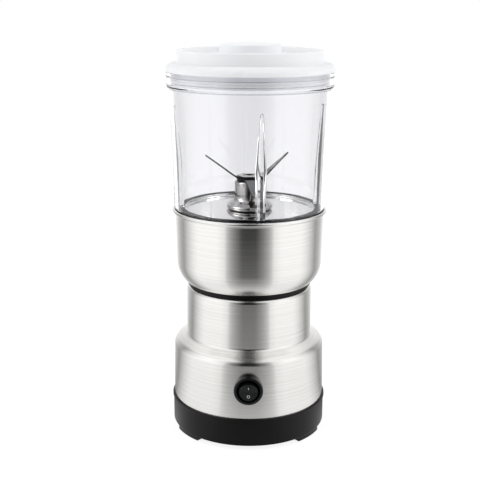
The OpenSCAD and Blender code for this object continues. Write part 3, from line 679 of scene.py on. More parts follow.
class Finishes:
    """The materials of all finishes, built once and handed out."""

    def __init__(self) -> None:
        """Builds the materials."""
        self.built = {finish: finish.value.build() for finish in Finish}

    def give(self, piece: bpy.types.Object, finish: Finish) -> None:
        """Dresses all of a piece in one finish."""
        piece.data.materials.clear()
        piece.data.materials.append(self.built[finish])

    def give_faces(self, piece: bpy.types.Object, finish: Finish,
                   chosen: Callable[[bpy.types.MeshPolygon], bool]) -> None:
        """Gives some faces of a dressed piece a second finish.

        Args:
            piece: The dressed piece.
            finish: The second finish.
            chosen: Says whether a face gets it.
        """
        piece.data.materials.append(self.built[finish])
        for face in piece.data.polygons:
            if chosen(face):
                face.material_index = 1


# ---------------------------------------------------------------- sub-assemblies


class Body(Enum):
    """The moving bodies that new pieces hang on."""

    BASE = "base"
    ROCKER = "rocker"
    JAR = "jar"
    BLADES = "blades"
    LID = "lid"
    CAP = "cap"


@dataclass
class SubAssembly:
    """Pieces of the grinder that are built together.

    Attributes:
        finishes: The built finishes.
    """

    finishes: Finishes

    def build(self) -> None:
        """Builds and dresses the pieces."""
        raise NotImplementedError

    def settle(self, piece: bpy.types.Object, body: Body, finish: Finish, slot: str,
               replaces: str | None = None) -> None:
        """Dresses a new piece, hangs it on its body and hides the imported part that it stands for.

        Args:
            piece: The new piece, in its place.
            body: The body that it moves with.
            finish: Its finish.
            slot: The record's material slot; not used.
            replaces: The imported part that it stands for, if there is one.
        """
        self.finishes.give(piece, finish)
        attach(piece, body.value)
        if replaces:
            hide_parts(replaces)
        triangles = sum(len(p.vertices) - 2 for p in piece.data.polygons)
        log.info("%s: %d triangles, %s, on %s", piece.name, triangles, finish.value.name, body.value)


class PackedParts(SubAssembly):
    """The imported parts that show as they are, each with its own finish."""

    FINISH_OF: ClassVar[dict[Finish, list[str]]] = {
        Finish.BLACK_ABS: ["base_cover", "cup_seat", "cord_inlet", "jar_foot", "jar_holder",
                           "blade_washers"],
        Finish.BLACK_RUBBER: ["foot_pads", "motor_mounts", "jar_seal", "driven_coupler"],
        Finish.BLACK_ZINC: ["base_screws", "motor_screws", "jar_screws", "blade_spindle"],
        Finish.BRASS: ["switch_terminals", "brush_holders"],
        Finish.LAMINATIONS: ["stator_core", "armature_core"],
        Finish.COPPER: ["field_coils", "armature_windings", "commutator"],
        Finish.DIE_CAST: ["lower_bracket", "upper_bracket"],
        Finish.BRONZE: ["lower_bush", "upper_bush", "spindle_bushes"],
        Finish.CARBON: ["brushes"],
        Finish.TURNED_STAINLESS: ["brush_springs", "motor_shaft", "hub_nut"],
        Finish.DARK_NYLON: ["cooling_fan"],
        Finish.NATURAL_NYLON: ["drive_coupler"],
    }

    def build(self) -> None:
        """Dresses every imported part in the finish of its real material."""
        for finish, nodes in self.FINISH_OF.items():
            for node in nodes:
                self.finishes.give(frame["nodes"][node], finish)
                log.info("%s: packed part in %s", node, finish.value.name)


@dataclass
class MotorBase(SubAssembly):
    """The stepped steel drum on its black skirt.

    Attributes:
        sheet: Thickness of the steel.
        drum_lean: How much narrower the drum is at its shoulder than at its foot.
        shoulder_corner: Height where the drum's line meets the shoulder's line.
        neck_corner: Height where the shoulder's line meets the neck's line.
        slope_drop: How much lower these two corners are on the sheet's inner side.
        neck_r: Radius of the neck at its foot.
        neck_lean: How much narrower the neck is at its top than at its foot.
        opening_r: Radius of the opening in the neck's top.
        switch_hole_r: Radius of the hole for the switch.
    """

    sheet: float = 0.7
    drum_lean: float = 0.62
    shoulder_corner: float = 59.2
    neck_corner: float = 63.6
    slope_drop: float = 0.42
    neck_r: float = 40.9
    neck_lean: float = 0.2
    opening_r: float = 37.8
    switch_hole_r: float = 7.9

    def build(self) -> None:
        """Draws the steel housing from its outer and inner line and cuts the switch's hole."""
        low, high = bounds_mm("housing")
        foot_r, top = high.x, high.z
        drum_r = foot_r - self.drum_lean
        neck_top_r = self.neck_r - self.neck_lean
        t, drop = self.sheet, self.slope_drop
        housing = turned("steel_housing", [
            Corner(foot_r - HAIR, low.z), Corner(drum_r, self.shoulder_corner, 3.0),
            Corner(self.neck_r, self.neck_corner, 0.96), Corner(neck_top_r, top - HAIR / 2, 2.5),
            Corner(self.opening_r, top - HAIR / 2), Corner(self.opening_r, top - t),
            Corner(neck_top_r - t, top - t, 1.8), Corner(self.neck_r - t, self.neck_corner - drop, 1.3),
            Corner(drum_r - t, self.shoulder_corner - drop, 2.5), Corner(foot_r - t, low.z),
        ])
        switch_low, switch_high = bounds_mm("switch_body")
        past_both_faces = 20.0
        hole = move(rod(self.switch_hole_r, past_both_faces),
                    shift(0, -drum_r, (switch_low.z + switch_high.z) / 2) @ rotation(90, "X"))
        housing = combine(housing, finish_mesh(hole, "switch_hole"), Change.CUT)
        self.settle(housing, Body.BASE, Finish.BRUSHED_STAINLESS, "brushed_steel", "housing")


@dataclass
class RockerSwitch(SubAssembly):
    """The round rocker switch in the drum's front.

    Its pieces are drawn with the switch's axis up and the rocker's axle at the origin, so a height
    here is a distance in front of the axle.

    Attributes:
        throw: How far the rocker tips between off and on, in degrees.
        rocker_r: Radius of the rocker.
        rocker_back: How far the rocker reaches behind its axle.
        valley: How far the rocker's middle line stands out from its axle.
        throat_r: Radius of the hole that it tips in.
        throat_floor: Height of that hole's floor.
        funnel: Depth of the funnel round the throat.
        ring_w: Width of the bezel's ring round the funnel.
        ring_back: Height of the ring's back, which lies on the drum.
        barrel_r: Radius of the barrel behind the drum's wall.
        barrel_end: Height of the barrel's end.
        mark_out: How far the middle of each mark lies from the rocker's middle line.
        bar: Width and length of the mark for on.
        circle: Inner and outer radius of the mark for off.
        ink: Thickness of the ink.
    """

    throw: float = 18.0
    rocker_r: float = 5.9
    rocker_back: float = 4.0
    valley: float = 3.1
    throat_r: float = 6.85
    throat_floor: float = -9.0
    funnel: float = 2.4
    ring_w: float = 1.6
    ring_back: float = -1.9
    barrel_r: float = 7.7
    barrel_end: float = -12.0
    mark_out: float = 2.9
    bar: tuple[float, float] = (0.42, 1.9)
    circle: tuple[float, float] = (0.62, 1.0)
    ink: float = 0.06

    def __post_init__(self) -> None:
        """Finds the axle and the bezel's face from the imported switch."""
        low, high = bounds_mm("switch_body")
        joint = next(j for j in frame["joints"] if j["name"] == "switch_rock")
        self.axle_y = joint["pos_m"][1] / MM
        self.axle_z = (high.z + low.z) / 2
        self.bezel_r = (high.z - low.z) / 2
        self.face = self.axle_y - low.y

    def _to_front(self) -> Matrix:
        """Returns the placing of a piece drawn with its axis up and its origin at the axle."""
        return shift(0, self.axle_y, self.axle_z) @ rotation(90, "X")

    def _tipped(self) -> Matrix:
        """Returns the placing of the rocker at rest, tipped to its off side."""
        return self._to_front() @ rotation(self.throw / 2, "X")

    def build(self) -> None:
        """Builds the bezel, the rocker and its two marks."""
        self._bezel()
        self._rocker()
        self._marks()

    def _bezel(self) -> None:
        """Turns the bezel: a rounded ring, a funnel and a dark throat."""
        bezel = spun([
            Corner(0.0, self.throat_floor), Corner(self.throat_r, self.throat_floor, 0.3),
            Corner(self.throat_r, self.face - self.funnel, 0.2),
            Corner(self.bezel_r - self.ring_w, self.face, 0.25), Corner(self.bezel_r, self.face, 0.9),
            Corner(self.bezel_r, self.ring_back), Corner(self.barrel_r, self.ring_back),
            Corner(self.barrel_r, self.barrel_end, 0.4), Corner(0.0, self.barrel_end),
        ], MEDIUM)
        bezel = finish_mesh(move(bezel, self._to_front()), "switch_bezel")
        self.settle(bezel, Body.BASE, Finish.SWITCH_NYLON, "black_plastic", "switch_body")

    def _rocker(self) -> None:
        """Cuts the rocker's two sloping faces from a round bar and rounds its edges."""
        rise = self.rocker_r * math.tan(math.radians(self.throw / 2))
        depth = self.valley + rise + self.rocker_back
        bar = move(rod(self.rocker_r, depth), shift(0, 0, depth / 2 - self.rocker_back))
        bmesh.ops.bisect_plane(bar, geom=bar.verts[:] + bar.edges[:] + bar.faces[:], plane_co=(0, 0, 0),
                               plane_no=(0, 1, 0))
        for point in bar.verts:
            if point.co.z > 0:
                point.co.z = self.valley * MM + abs(point.co.y) * rise / self.rocker_r
        tidy(bar)
        on_middle_line = 0.2 * MM
        round_edges(bar, 0.45, 3, lambda edge: all(v.co.z > 0 for v in edge.verts)
                    and any(abs(v.co.y) > on_middle_line for v in edge.verts))
        rocker = finish_mesh(move(bar, self._tipped()), "rocker")
        self.settle(rocker, Body.ROCKER, Finish.SWITCH_NYLON, "rocker_plastic", "switch_rocker")

    def _marks(self) -> None:
        """Lays a bar and a ring of ink on the rocker's two faces, for on and off."""
        slope = self.throw / 2
        lift = self.valley + self.mark_out * math.tan(math.radians(slope))
        bar = block(*self.bar, self.ink)
        round_edges(bar, 0.02, 1)
        inner, outer = self.circle
        low, high = -self.ink / 2, self.ink / 2
        ring = spun([Corner(inner, low), Corner(outer, low), Corner(outer, high, 0.02),
                     Corner(inner, high, 0.02)], COARSE)
        upper = shift(0, self.mark_out, lift) @ rotation(slope, "X")
        lower = shift(0, -self.mark_out, lift) @ rotation(-slope, "X")
        marks = joined([move(bar, self._tipped() @ upper), move(ring, self._tipped() @ lower)])
        self.settle(finish_mesh(marks, "switch_marks"), Body.ROCKER, Finish.GREY_INK, "rocker_plastic")


@dataclass
class JarBase(SubAssembly):
    """The steel bowl under the jar, with the plate and the bearing tower in it.

    Attributes:
        sheet: Thickness of the bowl's steel.
        hole_r: Radius of the hole in the bowl's flat foot.
        curve: Radius of the bowl's lower curve.
        curve_rise: Height from the bowl's lower edge to the middle of that curve.
        lean: How much wider the bowl's wall is at its top than above the curve.
        wire: Radius of the rolled rim.
        rim_out: How far the middle of the rolled rim lies outside the wall.
        plate_gap: Gap between the plate and the ring and stem beside it.
        lip: Height of the plate's upturned edge.
        lip_t: Thickness of that edge.
        stem_r: Radius of the tower's stem under the plate.
        waist_r: Radius of the tower's waist.
        bore_r: Radius of the bush's seat in the tower.
        bore_step: How much narrower the bore is below that seat.
        seat_rise: Height of the seat's floor over the plate.
        rim: Radius of the flange's round rim.
        flare: Radius of the hollow curve between flange and waist.
        flare_rise: Height of that curve's foot over the plate.
        bead: Radius of the bead round the tower's top.
        ring_w: Width of the black ring's lower part, which clamps the plate.
        ring_r: Radius of its part inside the jar.
        flange_r: Radius of its thin flange on the jar's ledge.
        flange_rise: Height of that flange over the plate.
        flange_t: Thickness of that flange.
    """

    sheet: float = 0.8
    hole_r: float = 29.0
    curve: float = 18.3
    curve_rise: float = 13.4
    lean: float = 0.75
    wire: float = 1.15
    rim_out: float = 0.9
    plate_gap: float = 0.05
    lip: float = 1.9
    lip_t: float = 0.5
    stem_r: float = 8.0
    waist_r: float = 9.6
    bore_r: float = 5.62
    bore_step: float = 1.1
    seat_rise: float = 4.0
    rim: float = 1.7
    flare: float = 4.0
    flare_rise: float = 4.7
    bead: float = 1.5
    ring_w: float = 0.4
    ring_r: float = 44.1
    flange_r: float = 46.0
    flange_rise: float = 1.84
    flange_t: float = 0.4

    def build(self) -> None:
        """Builds the bowl, the plate, the tower and the black ring."""
        self._bowl()
        self._plate()
        self._tower()
        self._ring()

    def _bowl(self) -> None:
        """Draws the bowl: flat foot, lower curve, leaning wall and rolled rim."""
        low, high = bounds_mm("jar_base_shell")
        t = self.sheet
        rim_r, rim_z = high.x - self.wire, high.z - self.wire
        wall_top_r = rim_r - self.rim_out
        centre_r = wall_top_r - self.lean - self.curve
        centre_z = low.z + self.curve_rise
        start = -math.degrees(math.asin(self.curve_rise / self.curve))
        inner_foot_r = centre_r + 11.6
        bowl = turned("steel_bowl", [
            Corner(self.hole_r, low.z), *arc(centre_r, centre_z, self.curve, start, 0, steps=14),
            Corner(wall_top_r, rim_z - 2.2), *arc(rim_r, rim_z, self.wire - HAIR, -125, 195, steps=20),
            Corner(wall_top_r - t, rim_z - 2.4),
            *reversed(arc(centre_r, centre_z, self.curve - t, start + 2, 0, steps=14)),
            Corner(inner_foot_r, low.z + t), Corner(self.hole_r, low.z + t),
        ])
        self.settle(bowl, Body.JAR, Finish.BRUSHED_STAINLESS, "brushed_steel", "jar_base_shell")

    def _plate(self) -> None:
        """Turns the round plate that closes the jar below, with its edge turned up as a low lip."""
        low, high = bounds_mm("floor_plate")
        edge_r = high.x - 2 * HAIR
        inner_r = self.stem_r + self.plate_gap
        lip_z = high.z + self.lip
        plate = turned("steel_plate", [
            Corner(inner_r, low.z), Corner(edge_r, low.z), Corner(edge_r, lip_z, 0.2),
            Corner(edge_r - self.lip_t, lip_z, 0.2), Corner(edge_r - self.lip_t, high.z, 0.7),
            Corner(inner_r, high.z),
        ])
        self.settle(plate, Body.JAR, Finish.MIRROR_STAINLESS, "polished_steel", "floor_plate")

    def _tower(self) -> None:
        """Turns the bearing tower: threaded stem, flange with a round rim, flare, waist and bead."""
        low, high = bounds_mm("blade_hub")
        _, plate_high = bounds_mm("floor_plate")
        floor = plate_high.z
        rim_r = high.x - self.rim
        narrow_r = self.bore_r - self.bore_step
        seat_z = floor + self.seat_rise
        rim_z = floor + self.rim + 0.2
        bead_r = self.waist_r + 0.2 - self.bead
        tower = turned("bearing_tower", [
            Corner(narrow_r, low.z), Corner(self.stem_r, low.z, 0.4), Corner(self.stem_r, floor),
            Corner(rim_r, floor), *arc(rim_r, rim_z, self.rim - HAIR, -80, 60, steps=8),
            *arc(self.waist_r + self.flare, floor + self.flare_rise + self.flare, self.flare, 252, 180,
                 steps=12),
            *arc(bead_r, high.z - self.bead, self.bead - HAIR, -34, 90, steps=10),
            Corner(self.bore_r, high.z - HAIR, 0.3), Corner(self.bore_r, seat_z),
            Corner(narrow_r, seat_z),
        ], MEDIUM)
        self.settle(tower, Body.JAR, Finish.TURNED_STAINLESS, "polished_steel", "blade_hub")

    def _ring(self) -> None:
        """Turns the black ring that clamps the plate's lip, with a flange over the jar's ledge."""
        low, _ = bounds_mm("plate_seal")
        _, plate_high = bounds_mm("floor_plate")
        _, holder_high = bounds_mm("jar_holder")
        deck, edge_r = holder_high.z, plate_high.x
        inner_r = edge_r + self.plate_gap
        top = plate_high.z + self.lip - 0.1
        flange_z = plate_high.z + self.flange_rise
        ring = turned("plate_ring", [
            Corner(inner_r, low.z), Corner(edge_r + self.ring_w, low.z), Corner(edge_r + self.ring_w, deck),
            Corner(self.ring_r, deck), Corner(self.ring_r, flange_z), Corner(self.flange_r, flange_z),
            Corner(self.flange_r, flange_z + self.flange_t, 0.15), Corner(self.ring_r - 0.4, top, 0.3),
            Corner(inner_r, top, 0.2),
        ])
        self.settle(ring, Body.JAR, Finish.BLACK_RUBBER, "black_rubber", "plate_seal")


class Wing(NamedTuple):
    """One bent wing of a blade.

    Attributes:
        root: Where the bend starts, in millimetres from the axis.
        angle: Angle of the wing in degrees, up if positive.
        plan: Outline seen from above, as (distance out, sideways) pairs from root to root.
    """

    root: float
    angle: float
    plan: tuple[tuple[float, float], ...]


@dataclass
class BladeSet(SubAssembly):
    """Two crossed blades, the cap over them and the nut that clamps them.

    Attributes:
        turn: Turn of the set at rest, in degrees.
        thickness: Thickness of the blade steel.
        bend: Radius of the bends.
        upper_w: Width of the pointed upper blade.
        middle_r: Radius of the upper blade's round middle.
        left: Reach of the upper blade's left wing and its angle in degrees.
        right: Reach and angle of its right wing.
        upper_ground: Width of the upper blade's ground edge.
        lower_w: Width of the broad lower blade.
        lower: Reach and angle of the lower blade's wings.
        lower_ground: Width of the lower blade's ground edge.
        ground_share: Share of the blade's thickness that grinding takes off at the edge.
        sleeve_r: Radius of the nut's sleeve, which goes through both blades.
        bore_r: Radius of the nut's bore, round the spindle.
        gap: Gap between pieces that are pushed over each other.
        cap_t: Thickness of the cap over the upper blade.
        cap_wall: Thickness of the cap's wall round the upper blade's middle.
        head_t: Thickness of the nut's head.
        socket_r: Corner radius of the nut's hexagonal socket.
        socket_depth: Depth of that socket.
    """

    turn: float = 14.0
    thickness: float = 1.0
    bend: float = 1.8
    upper_w: float = 7.8
    middle_r: float = 7.4
    left: tuple[float, float] = (28.6, 36.5)
    right: tuple[float, float] = (25.4, 42.0)
    upper_ground: float = 0.4
    lower_w: float = 10.4
    lower: tuple[float, float] = (20.5, -43.0)
    lower_ground: float = 1.1
    ground_share: float = 0.75
    sleeve_r: float = 4.2
    bore_r: float = 3.02
    gap: float = 0.02
    cap_t: float = 0.4
    cap_wall: float = 0.55
    head_t: float = 0.4
    socket_r: float = 3.46
    socket_depth: float = 2.6

    def build(self) -> None:
        """Builds both blades, the cap and the nut."""
        upper_low, _ = bounds_mm("upper_blade")
        level = upper_low.z
        pointed = (self._pointed(*self.right), self._pointed(*self.left))
        self._blade("upper_cutter", "upper_blade", level, pointed, self.upper_ground, self.turn)
        broad = self._broad(*self.lower)
        self._blade("lower_cutter", "lower_blade", level - self.thickness, (broad, broad),
                    self.lower_ground, self.turn - 90)
        self._nut(self._cap(level))

    def _pointed(self, reach: float, angle: float) -> Wing:
        """Shapes an upper wing, whose two edges close in to a narrow tip.

        Args:
            reach: How far its tip reaches from the axis.
            angle: How steeply it rises, in degrees.

        Returns:
            The wing.
        """
        root, half, tip = 8.0, self.upper_w / 2, 0.7
        return Wing(root, angle, ((root, -half), (reach - 3.5, -tip - 0.2), (reach, -tip),
                                  (reach - 1.2, tip), (root, half)))

    def _broad(self, reach: float, angle: float) -> Wing:
        """Shapes a lower wing, with a straight back, a closing cutting edge and a slanted end.

        Args:
            reach: How far its tip reaches from the axis.
            angle: How steeply it falls, as a negative number of degrees.

        Returns:
            The wing.
        """
        root, half = 8.2, self.lower_w / 2
        shoulder = reach + 1 - 0.3 * (reach + 1 - root)
        return Wing(root, angle, ((root, -half), (shoulder, 2.4 - half), (reach, half - 4.5),
                                  (reach - 0.1, half - 2.2), (root, half)))

    def _middle(self, side: int) -> list[tuple[float, float]]:
        """Draws the round bulge of the upper blade's middle.

        Args:
            side: 1 for the bulge on the +Y side, -1 for the other.

        Returns:
            The points along it, as (x, y) pairs.
        """
        steps = 12
        start = math.asin(self.upper_w / 2 / self.middle_r)
        angles = [start + (math.pi - 2 * start) * i / steps for i in range(steps + 1)]
        return [(side * self.middle_r * math.cos(a), side * self.middle_r * math.sin(a)) for a in angles]

    def _flat(self, wing: Wing, x: float) -> float:
        """Finds where a point of a bent wing lies on the flat blank.

        Args:
            wing: The wing that it lies on.
            x: Its distance out from the axis on the bent wing.

        Returns:
            Its distance out from the axis on the flat blank.
        """
        full = math.radians(abs(wing.angle))
        bent = wing.root + self.bend * math.sin(full)
        return x if x <= bent else wing.root + self.bend * full + (x - bent) / math.cos(full)

    def _bent(self, wing: Wing, x: float, z: float) -> tuple[float, float]:
        """Finds where a point of the flat blank goes when its wing is bent.

        Args:
            wing: The wing that it lies on.
            x: Distance out from the axis on the flat blank.
            z: Height above the blank's middle plane.

        Returns:
            Its distance out and its height on the bent wing.
        """
        if x <= wing.root:
            return x, z
        way = math.copysign(1.0, wing.angle)
        full = math.radians(abs(wing.angle))
        part = min((x - wing.root) / self.bend, full)
        rest = max(x - wing.root - self.bend * full, 0.0)
        radius = self.bend - way * z
        out = wing.root + radius * math.sin(part) + rest * math.cos(full)
        rise = way * (self.bend - radius * math.cos(part) + rest * math.sin(full))
        return out, rise

    def _slice(self, blank: bmesh.types.BMesh, wings: tuple[Wing, Wing]) -> None:
        """Cuts extra edges across a blank where its two wings will bend.

        Args:
            blank: The flat blade.
            wings: The wing along +X and the one opposite.
        """
        steps = 4
        for side, wing in zip((1, -1), wings):
            full = math.radians(abs(wing.angle))
            for step in range(steps + 1):
                x = side * (wing.root + self.bend * full * step / steps)
                bmesh.ops.bisect_plane(blank, geom=blank.verts[:] + blank.edges[:] + blank.faces[:],
                                       plane_co=(x * MM, 0, 0), plane_no=(1, 0, 0))

    def _blade(self, name: str, node: str, level: float, wings: tuple[Wing, Wing], ground: float,
               turn: float) -> None:
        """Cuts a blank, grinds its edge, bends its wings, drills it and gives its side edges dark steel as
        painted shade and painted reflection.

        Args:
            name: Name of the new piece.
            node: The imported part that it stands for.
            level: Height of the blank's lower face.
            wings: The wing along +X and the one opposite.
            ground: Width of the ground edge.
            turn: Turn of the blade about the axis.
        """
        outline = []
        for side, wing in zip((1, -1), wings):
            outline += [(side * self._flat(wing, x), side * y) for x, y in wing.plan]
            if node == "upper_blade":
                outline += self._middle(side)
        half = self.thickness / 2
        blank = bmesh.new()
        top = blank.faces.new([blank.verts.new((x * MM, y * MM, half * MM)) for x, y in outline])
        bmesh.ops.inset_region(blank, faces=[top], thickness=ground * MM, depth=0.0,
                               use_even_offset=True)
        for point in {v for v in blank.verts if v not in top.verts}:
            point.co.z -= self.ground_share * self.thickness * MM
        wall = bmesh.ops.extrude_edge_only(blank, edges=[e for e in blank.edges if e.is_boundary])
        for point in (g for g in wall["geom"] if isinstance(g, bmesh.types.BMVert)):
            point.co.z = -half * MM
        bmesh.ops.contextual_create(blank, geom=[e for e in blank.edges if e.is_boundary])
        tidy(blank)
        self._slice(blank, wings)
        for point in blank.verts:
            side = math.copysign(1.0, point.co.x)
            x, z = self._bent(wings[0] if side > 0 else wings[1], abs(point.co.x) / MM, point.co.z / MM)
            point.co.x = side * x * MM
            point.co.z = z * MM
        tidy(blank)
        blade = finish_mesh(move(blank, shift(0, 0, level + half) @ rotation(turn)), name)
        hole_r, below, above = self.sleeve_r + self.gap, level - 3, level + 4
        drill = spun([Corner(0, below), Corner(hole_r, below), Corner(hole_r, above), Corner(0, above)],
                     COARSE)
        blade = combine(blade, finish_mesh(drill, "drill"), Change.CUT)
        self.settle(blade, Body.BLADES, Finish.BLADE_STEEL, "polished_steel", node)
        # painted shade and reflection: faces that point across the blade, its side and ground edges, get
        # dark steel
        across = Vector((-math.sin(math.radians(turn)), math.cos(math.radians(turn)), 0))
        sideways = 0.3
        self.finishes.give_faces(blade, Finish.PAINTED_SHADE_STEEL,
                                 lambda face: abs(face.normal.dot(across)) > sideways)

    def _cap(self, low: float) -> float:
        """Makes the black cap over the upper blade's middle, slotted for its two wings.

        Args:
            low: Height of the upper blade's lower face.

        Returns:
            Height of the cap's top, on which the nut's head sits.
        """
        top = low + self.thickness + self.cap_t
        under = top - self.cap_t + self.gap
        bore_r = self.sleeve_r + self.gap
        inner_r = self.middle_r + 0.05
        outer_r = inner_r + self.cap_wall
        cap = turned("blade_cap", [
            Corner(bore_r, under), Corner(inner_r, under), Corner(inner_r, low + self.gap),
            Corner(outer_r, low + self.gap, 0.1), Corner(outer_r, top, 0.2), Corner(bore_r, top),
        ], MEDIUM)
        slot = block(4 * self.middle_r, self.upper_w + 0.1, 2 * self.thickness)
        move(slot, shift(0, 0, low) @ rotation(self.turn))
        cap = combine(cap, finish_mesh(slot, "wing_slot"), Change.CUT)
        self.settle(cap, Body.BLADES, Finish.BLACK_ABS, "black_plastic")
        return top

    def _nut(self, seat: float) -> None:
        """Makes the sleeve nut: a thin round head with a hexagonal socket over a sleeve.

        Args:
            seat: Height on which the head sits.
        """
        low, high = bounds_mm("blade_nut")
        head_r = high.x - HAIR
        top = seat + self.head_t
        nut = turned("sleeve_nut", [
            Corner(self.bore_r, low.z, 0.2), Corner(self.sleeve_r, low.z, 0.2), Corner(self.sleeve_r, seat),
            Corner(head_r, seat, 0.1), Corner(head_r, top, 0.2), Corner(self.bore_r, top),
        ], MEDIUM)
        key = move(rod(self.socket_r, 2 * self.socket_depth, sides=6), shift(0, 0, top))
        nut = combine(nut, finish_mesh(key, "hexagon_key"), Change.CUT)
        self.settle(nut, Body.BLADES, Finish.TURNED_STAINLESS, "polished_steel", "blade_nut")
        # painted shade: the faces inside the socket get dark steel that stands in for the shade in the
        # recess
        just_below_top = (top - 0.1) * MM
        self.finishes.give_faces(nut, Finish.PAINTED_SHADE_STEEL, lambda face: face.center.z < just_below_top
                                 and face.center.to_2d().length < self.socket_r * MM)


@dataclass
class ClearJar(SubAssembly):
    """The clear jar with four ribs inside and a band round its mouth.

    Attributes:
        wall: Thickness of the wall.
        foot_r: Outer radius at the foot.
        top_r: Outer radius under the band.
        tongue: Inner and outer radius of the tongue under the foot.
        tongue_h: Height of that tongue.
        ledge: Thickness of the ledge inside the foot.
        band: Height of the band.
        band_out: How far the band stands out from the wall.
        band_t: Thickness of the band.
        rim_out: How far the mouth's rim stands out from the band.
        rib_turn: Turn of the ribs in degrees.
        rib_count: Number of ribs.
    """

    wall: float = 2.3
    foot_r: float = 48.4
    top_r: float = 51.2
    tongue: tuple[float, float] = (44.4, 45.8)
    tongue_h: float = 2.4
    ledge: float = 0.7
    band: float = 10.0
    band_out: float = 1.4
    band_t: float = 2.5
    rim_out: float = 0.45
    rib_turn: float = 8.2
    rib_count: int = 4

    def __post_init__(self) -> None:
        """Finds the jar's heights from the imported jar."""
        low, high = bounds_mm("clear_jar")
        self.tongue_z = low.z
        self.foot = low.z + self.tongue_h
        self.top = high.z
        self.height = self.top - self.foot

    def _outer_r(self, z: float) -> float:
        """Returns the outer radius of the wall, which flares slightly more towards its top."""
        share = (z - self.foot) / (self.top - self.band - self.foot)
        return self.foot_r + (self.top_r - self.foot_r) * (0.55 * share + 0.45 * share * share)

    def _wall_line(self, inset: float, start: float, end: float) -> list[Corner]:
        """Draws the wall's line between two heights.

        Args:
            inset: How far inside the outer face the line runs.
            start: Its lowest height.
            end: Its highest height.

        Returns:
            The corners along it, the lowest first.
        """
        steps = 8
        heights = [start + (end - start) * i / steps for i in range(steps + 1)]
        return [Corner(self._outer_r(z) - inset, z) for z in heights]

    def build(self) -> None:
        """Builds the jar as one closed mesh of clear plastic."""
        tongue_in, tongue_out = self.tongue
        ledge_z = self.foot + self.ledge
        band_z = self.top - self.band
        band_r = self.top_r + self.band_out
        rim_r = band_r + self.rim_out
        bore_r = band_r - self.band_t
        jar = turned("jar", [
            Corner(tongue_in, self.tongue_z, 0.3), Corner(tongue_out, self.tongue_z, 0.3),
            Corner(tongue_out, self.foot), Corner(self.foot_r - 0.05, self.foot, 0.4),
            *self._wall_line(0, self.foot + 2, band_z - 1.2), Corner(self.top_r, band_z, 0.5),
            Corner(band_r - 0.1, band_z + 0.3, 0.9), Corner(band_r, self.top - 3.0, 1.0),
            Corner(rim_r, self.top - 1.4, 0.5), Corner(rim_r, self.top, 0.4),
            Corner(bore_r, self.top, 0.5), Corner(bore_r, band_z + 2.2, 0.6),
            *reversed(self._wall_line(self.wall, self.foot + 5.4, band_z - 0.4)),
            Corner(self.foot_r - self.wall, ledge_z, 0.25), Corner(tongue_in, ledge_z, 0.2),
        ])
        for number in range(self.rib_count):
            rib = move(self._rib(), rotation(self.rib_turn + 360 / self.rib_count * number))
            jar = combine(jar, finish_mesh(rib, "rib"), Change.ADD)
        self.settle(jar, Body.JAR, Finish.CLEAR_SAN, "clear_jar", "clear_jar")

    def _rib(self) -> bmesh.types.BMesh:
        """Bridges a rib on the -Y side from the foot to its point, widest a third of the way up.

        Returns:
            One rib: a tall blade of plastic with a rounded crest.
        """
        foot = self.foot + 0.9
        belly = self.foot + 0.36 * self.height
        top = self.foot + 0.757 * self.height
        # height, half width and depth of each section
        sections = [(foot, 2.9, 4.0), (foot + 5, 3.05, 3.95), (belly, 3.6, 3.6),
                    ((belly + top) / 2, 2.35, 2.6), (top - 1.1, 1.1, 1.65), (top - 0.3, 0.7, 1.5),
                    (top, 0.25, 1.2)]
        rib = bmesh.new()
        rings = []
        for z, half, depth in sections:
            back = self._outer_r(z) - 0.8
            side = self._outer_r(z) - self.wall + 0.1
            crest = self._outer_r(z) - self.wall - depth
            bend = (0.45 * half, crest + 0.12 * depth)
            outline = [(-half, back), (-half, side), (-bend[0], bend[1]), (0, crest), bend,
                       (half, side), (half, back)]
            ring = [rib.verts.new((x * MM, -r * MM, z * MM)) for x, r in outline]
            rings.append([rib.edges.new(pair) for pair in zip(ring, ring[1:] + ring[:1])])
        for lower, upper in zip(rings, rings[1:]):
            bmesh.ops.bridge_loops(rib, edges=lower + upper)
        for ring in (rings[0], rings[-1]):
            bmesh.ops.contextual_create(rib, geom=ring)
        tidy(rib)
        return rib


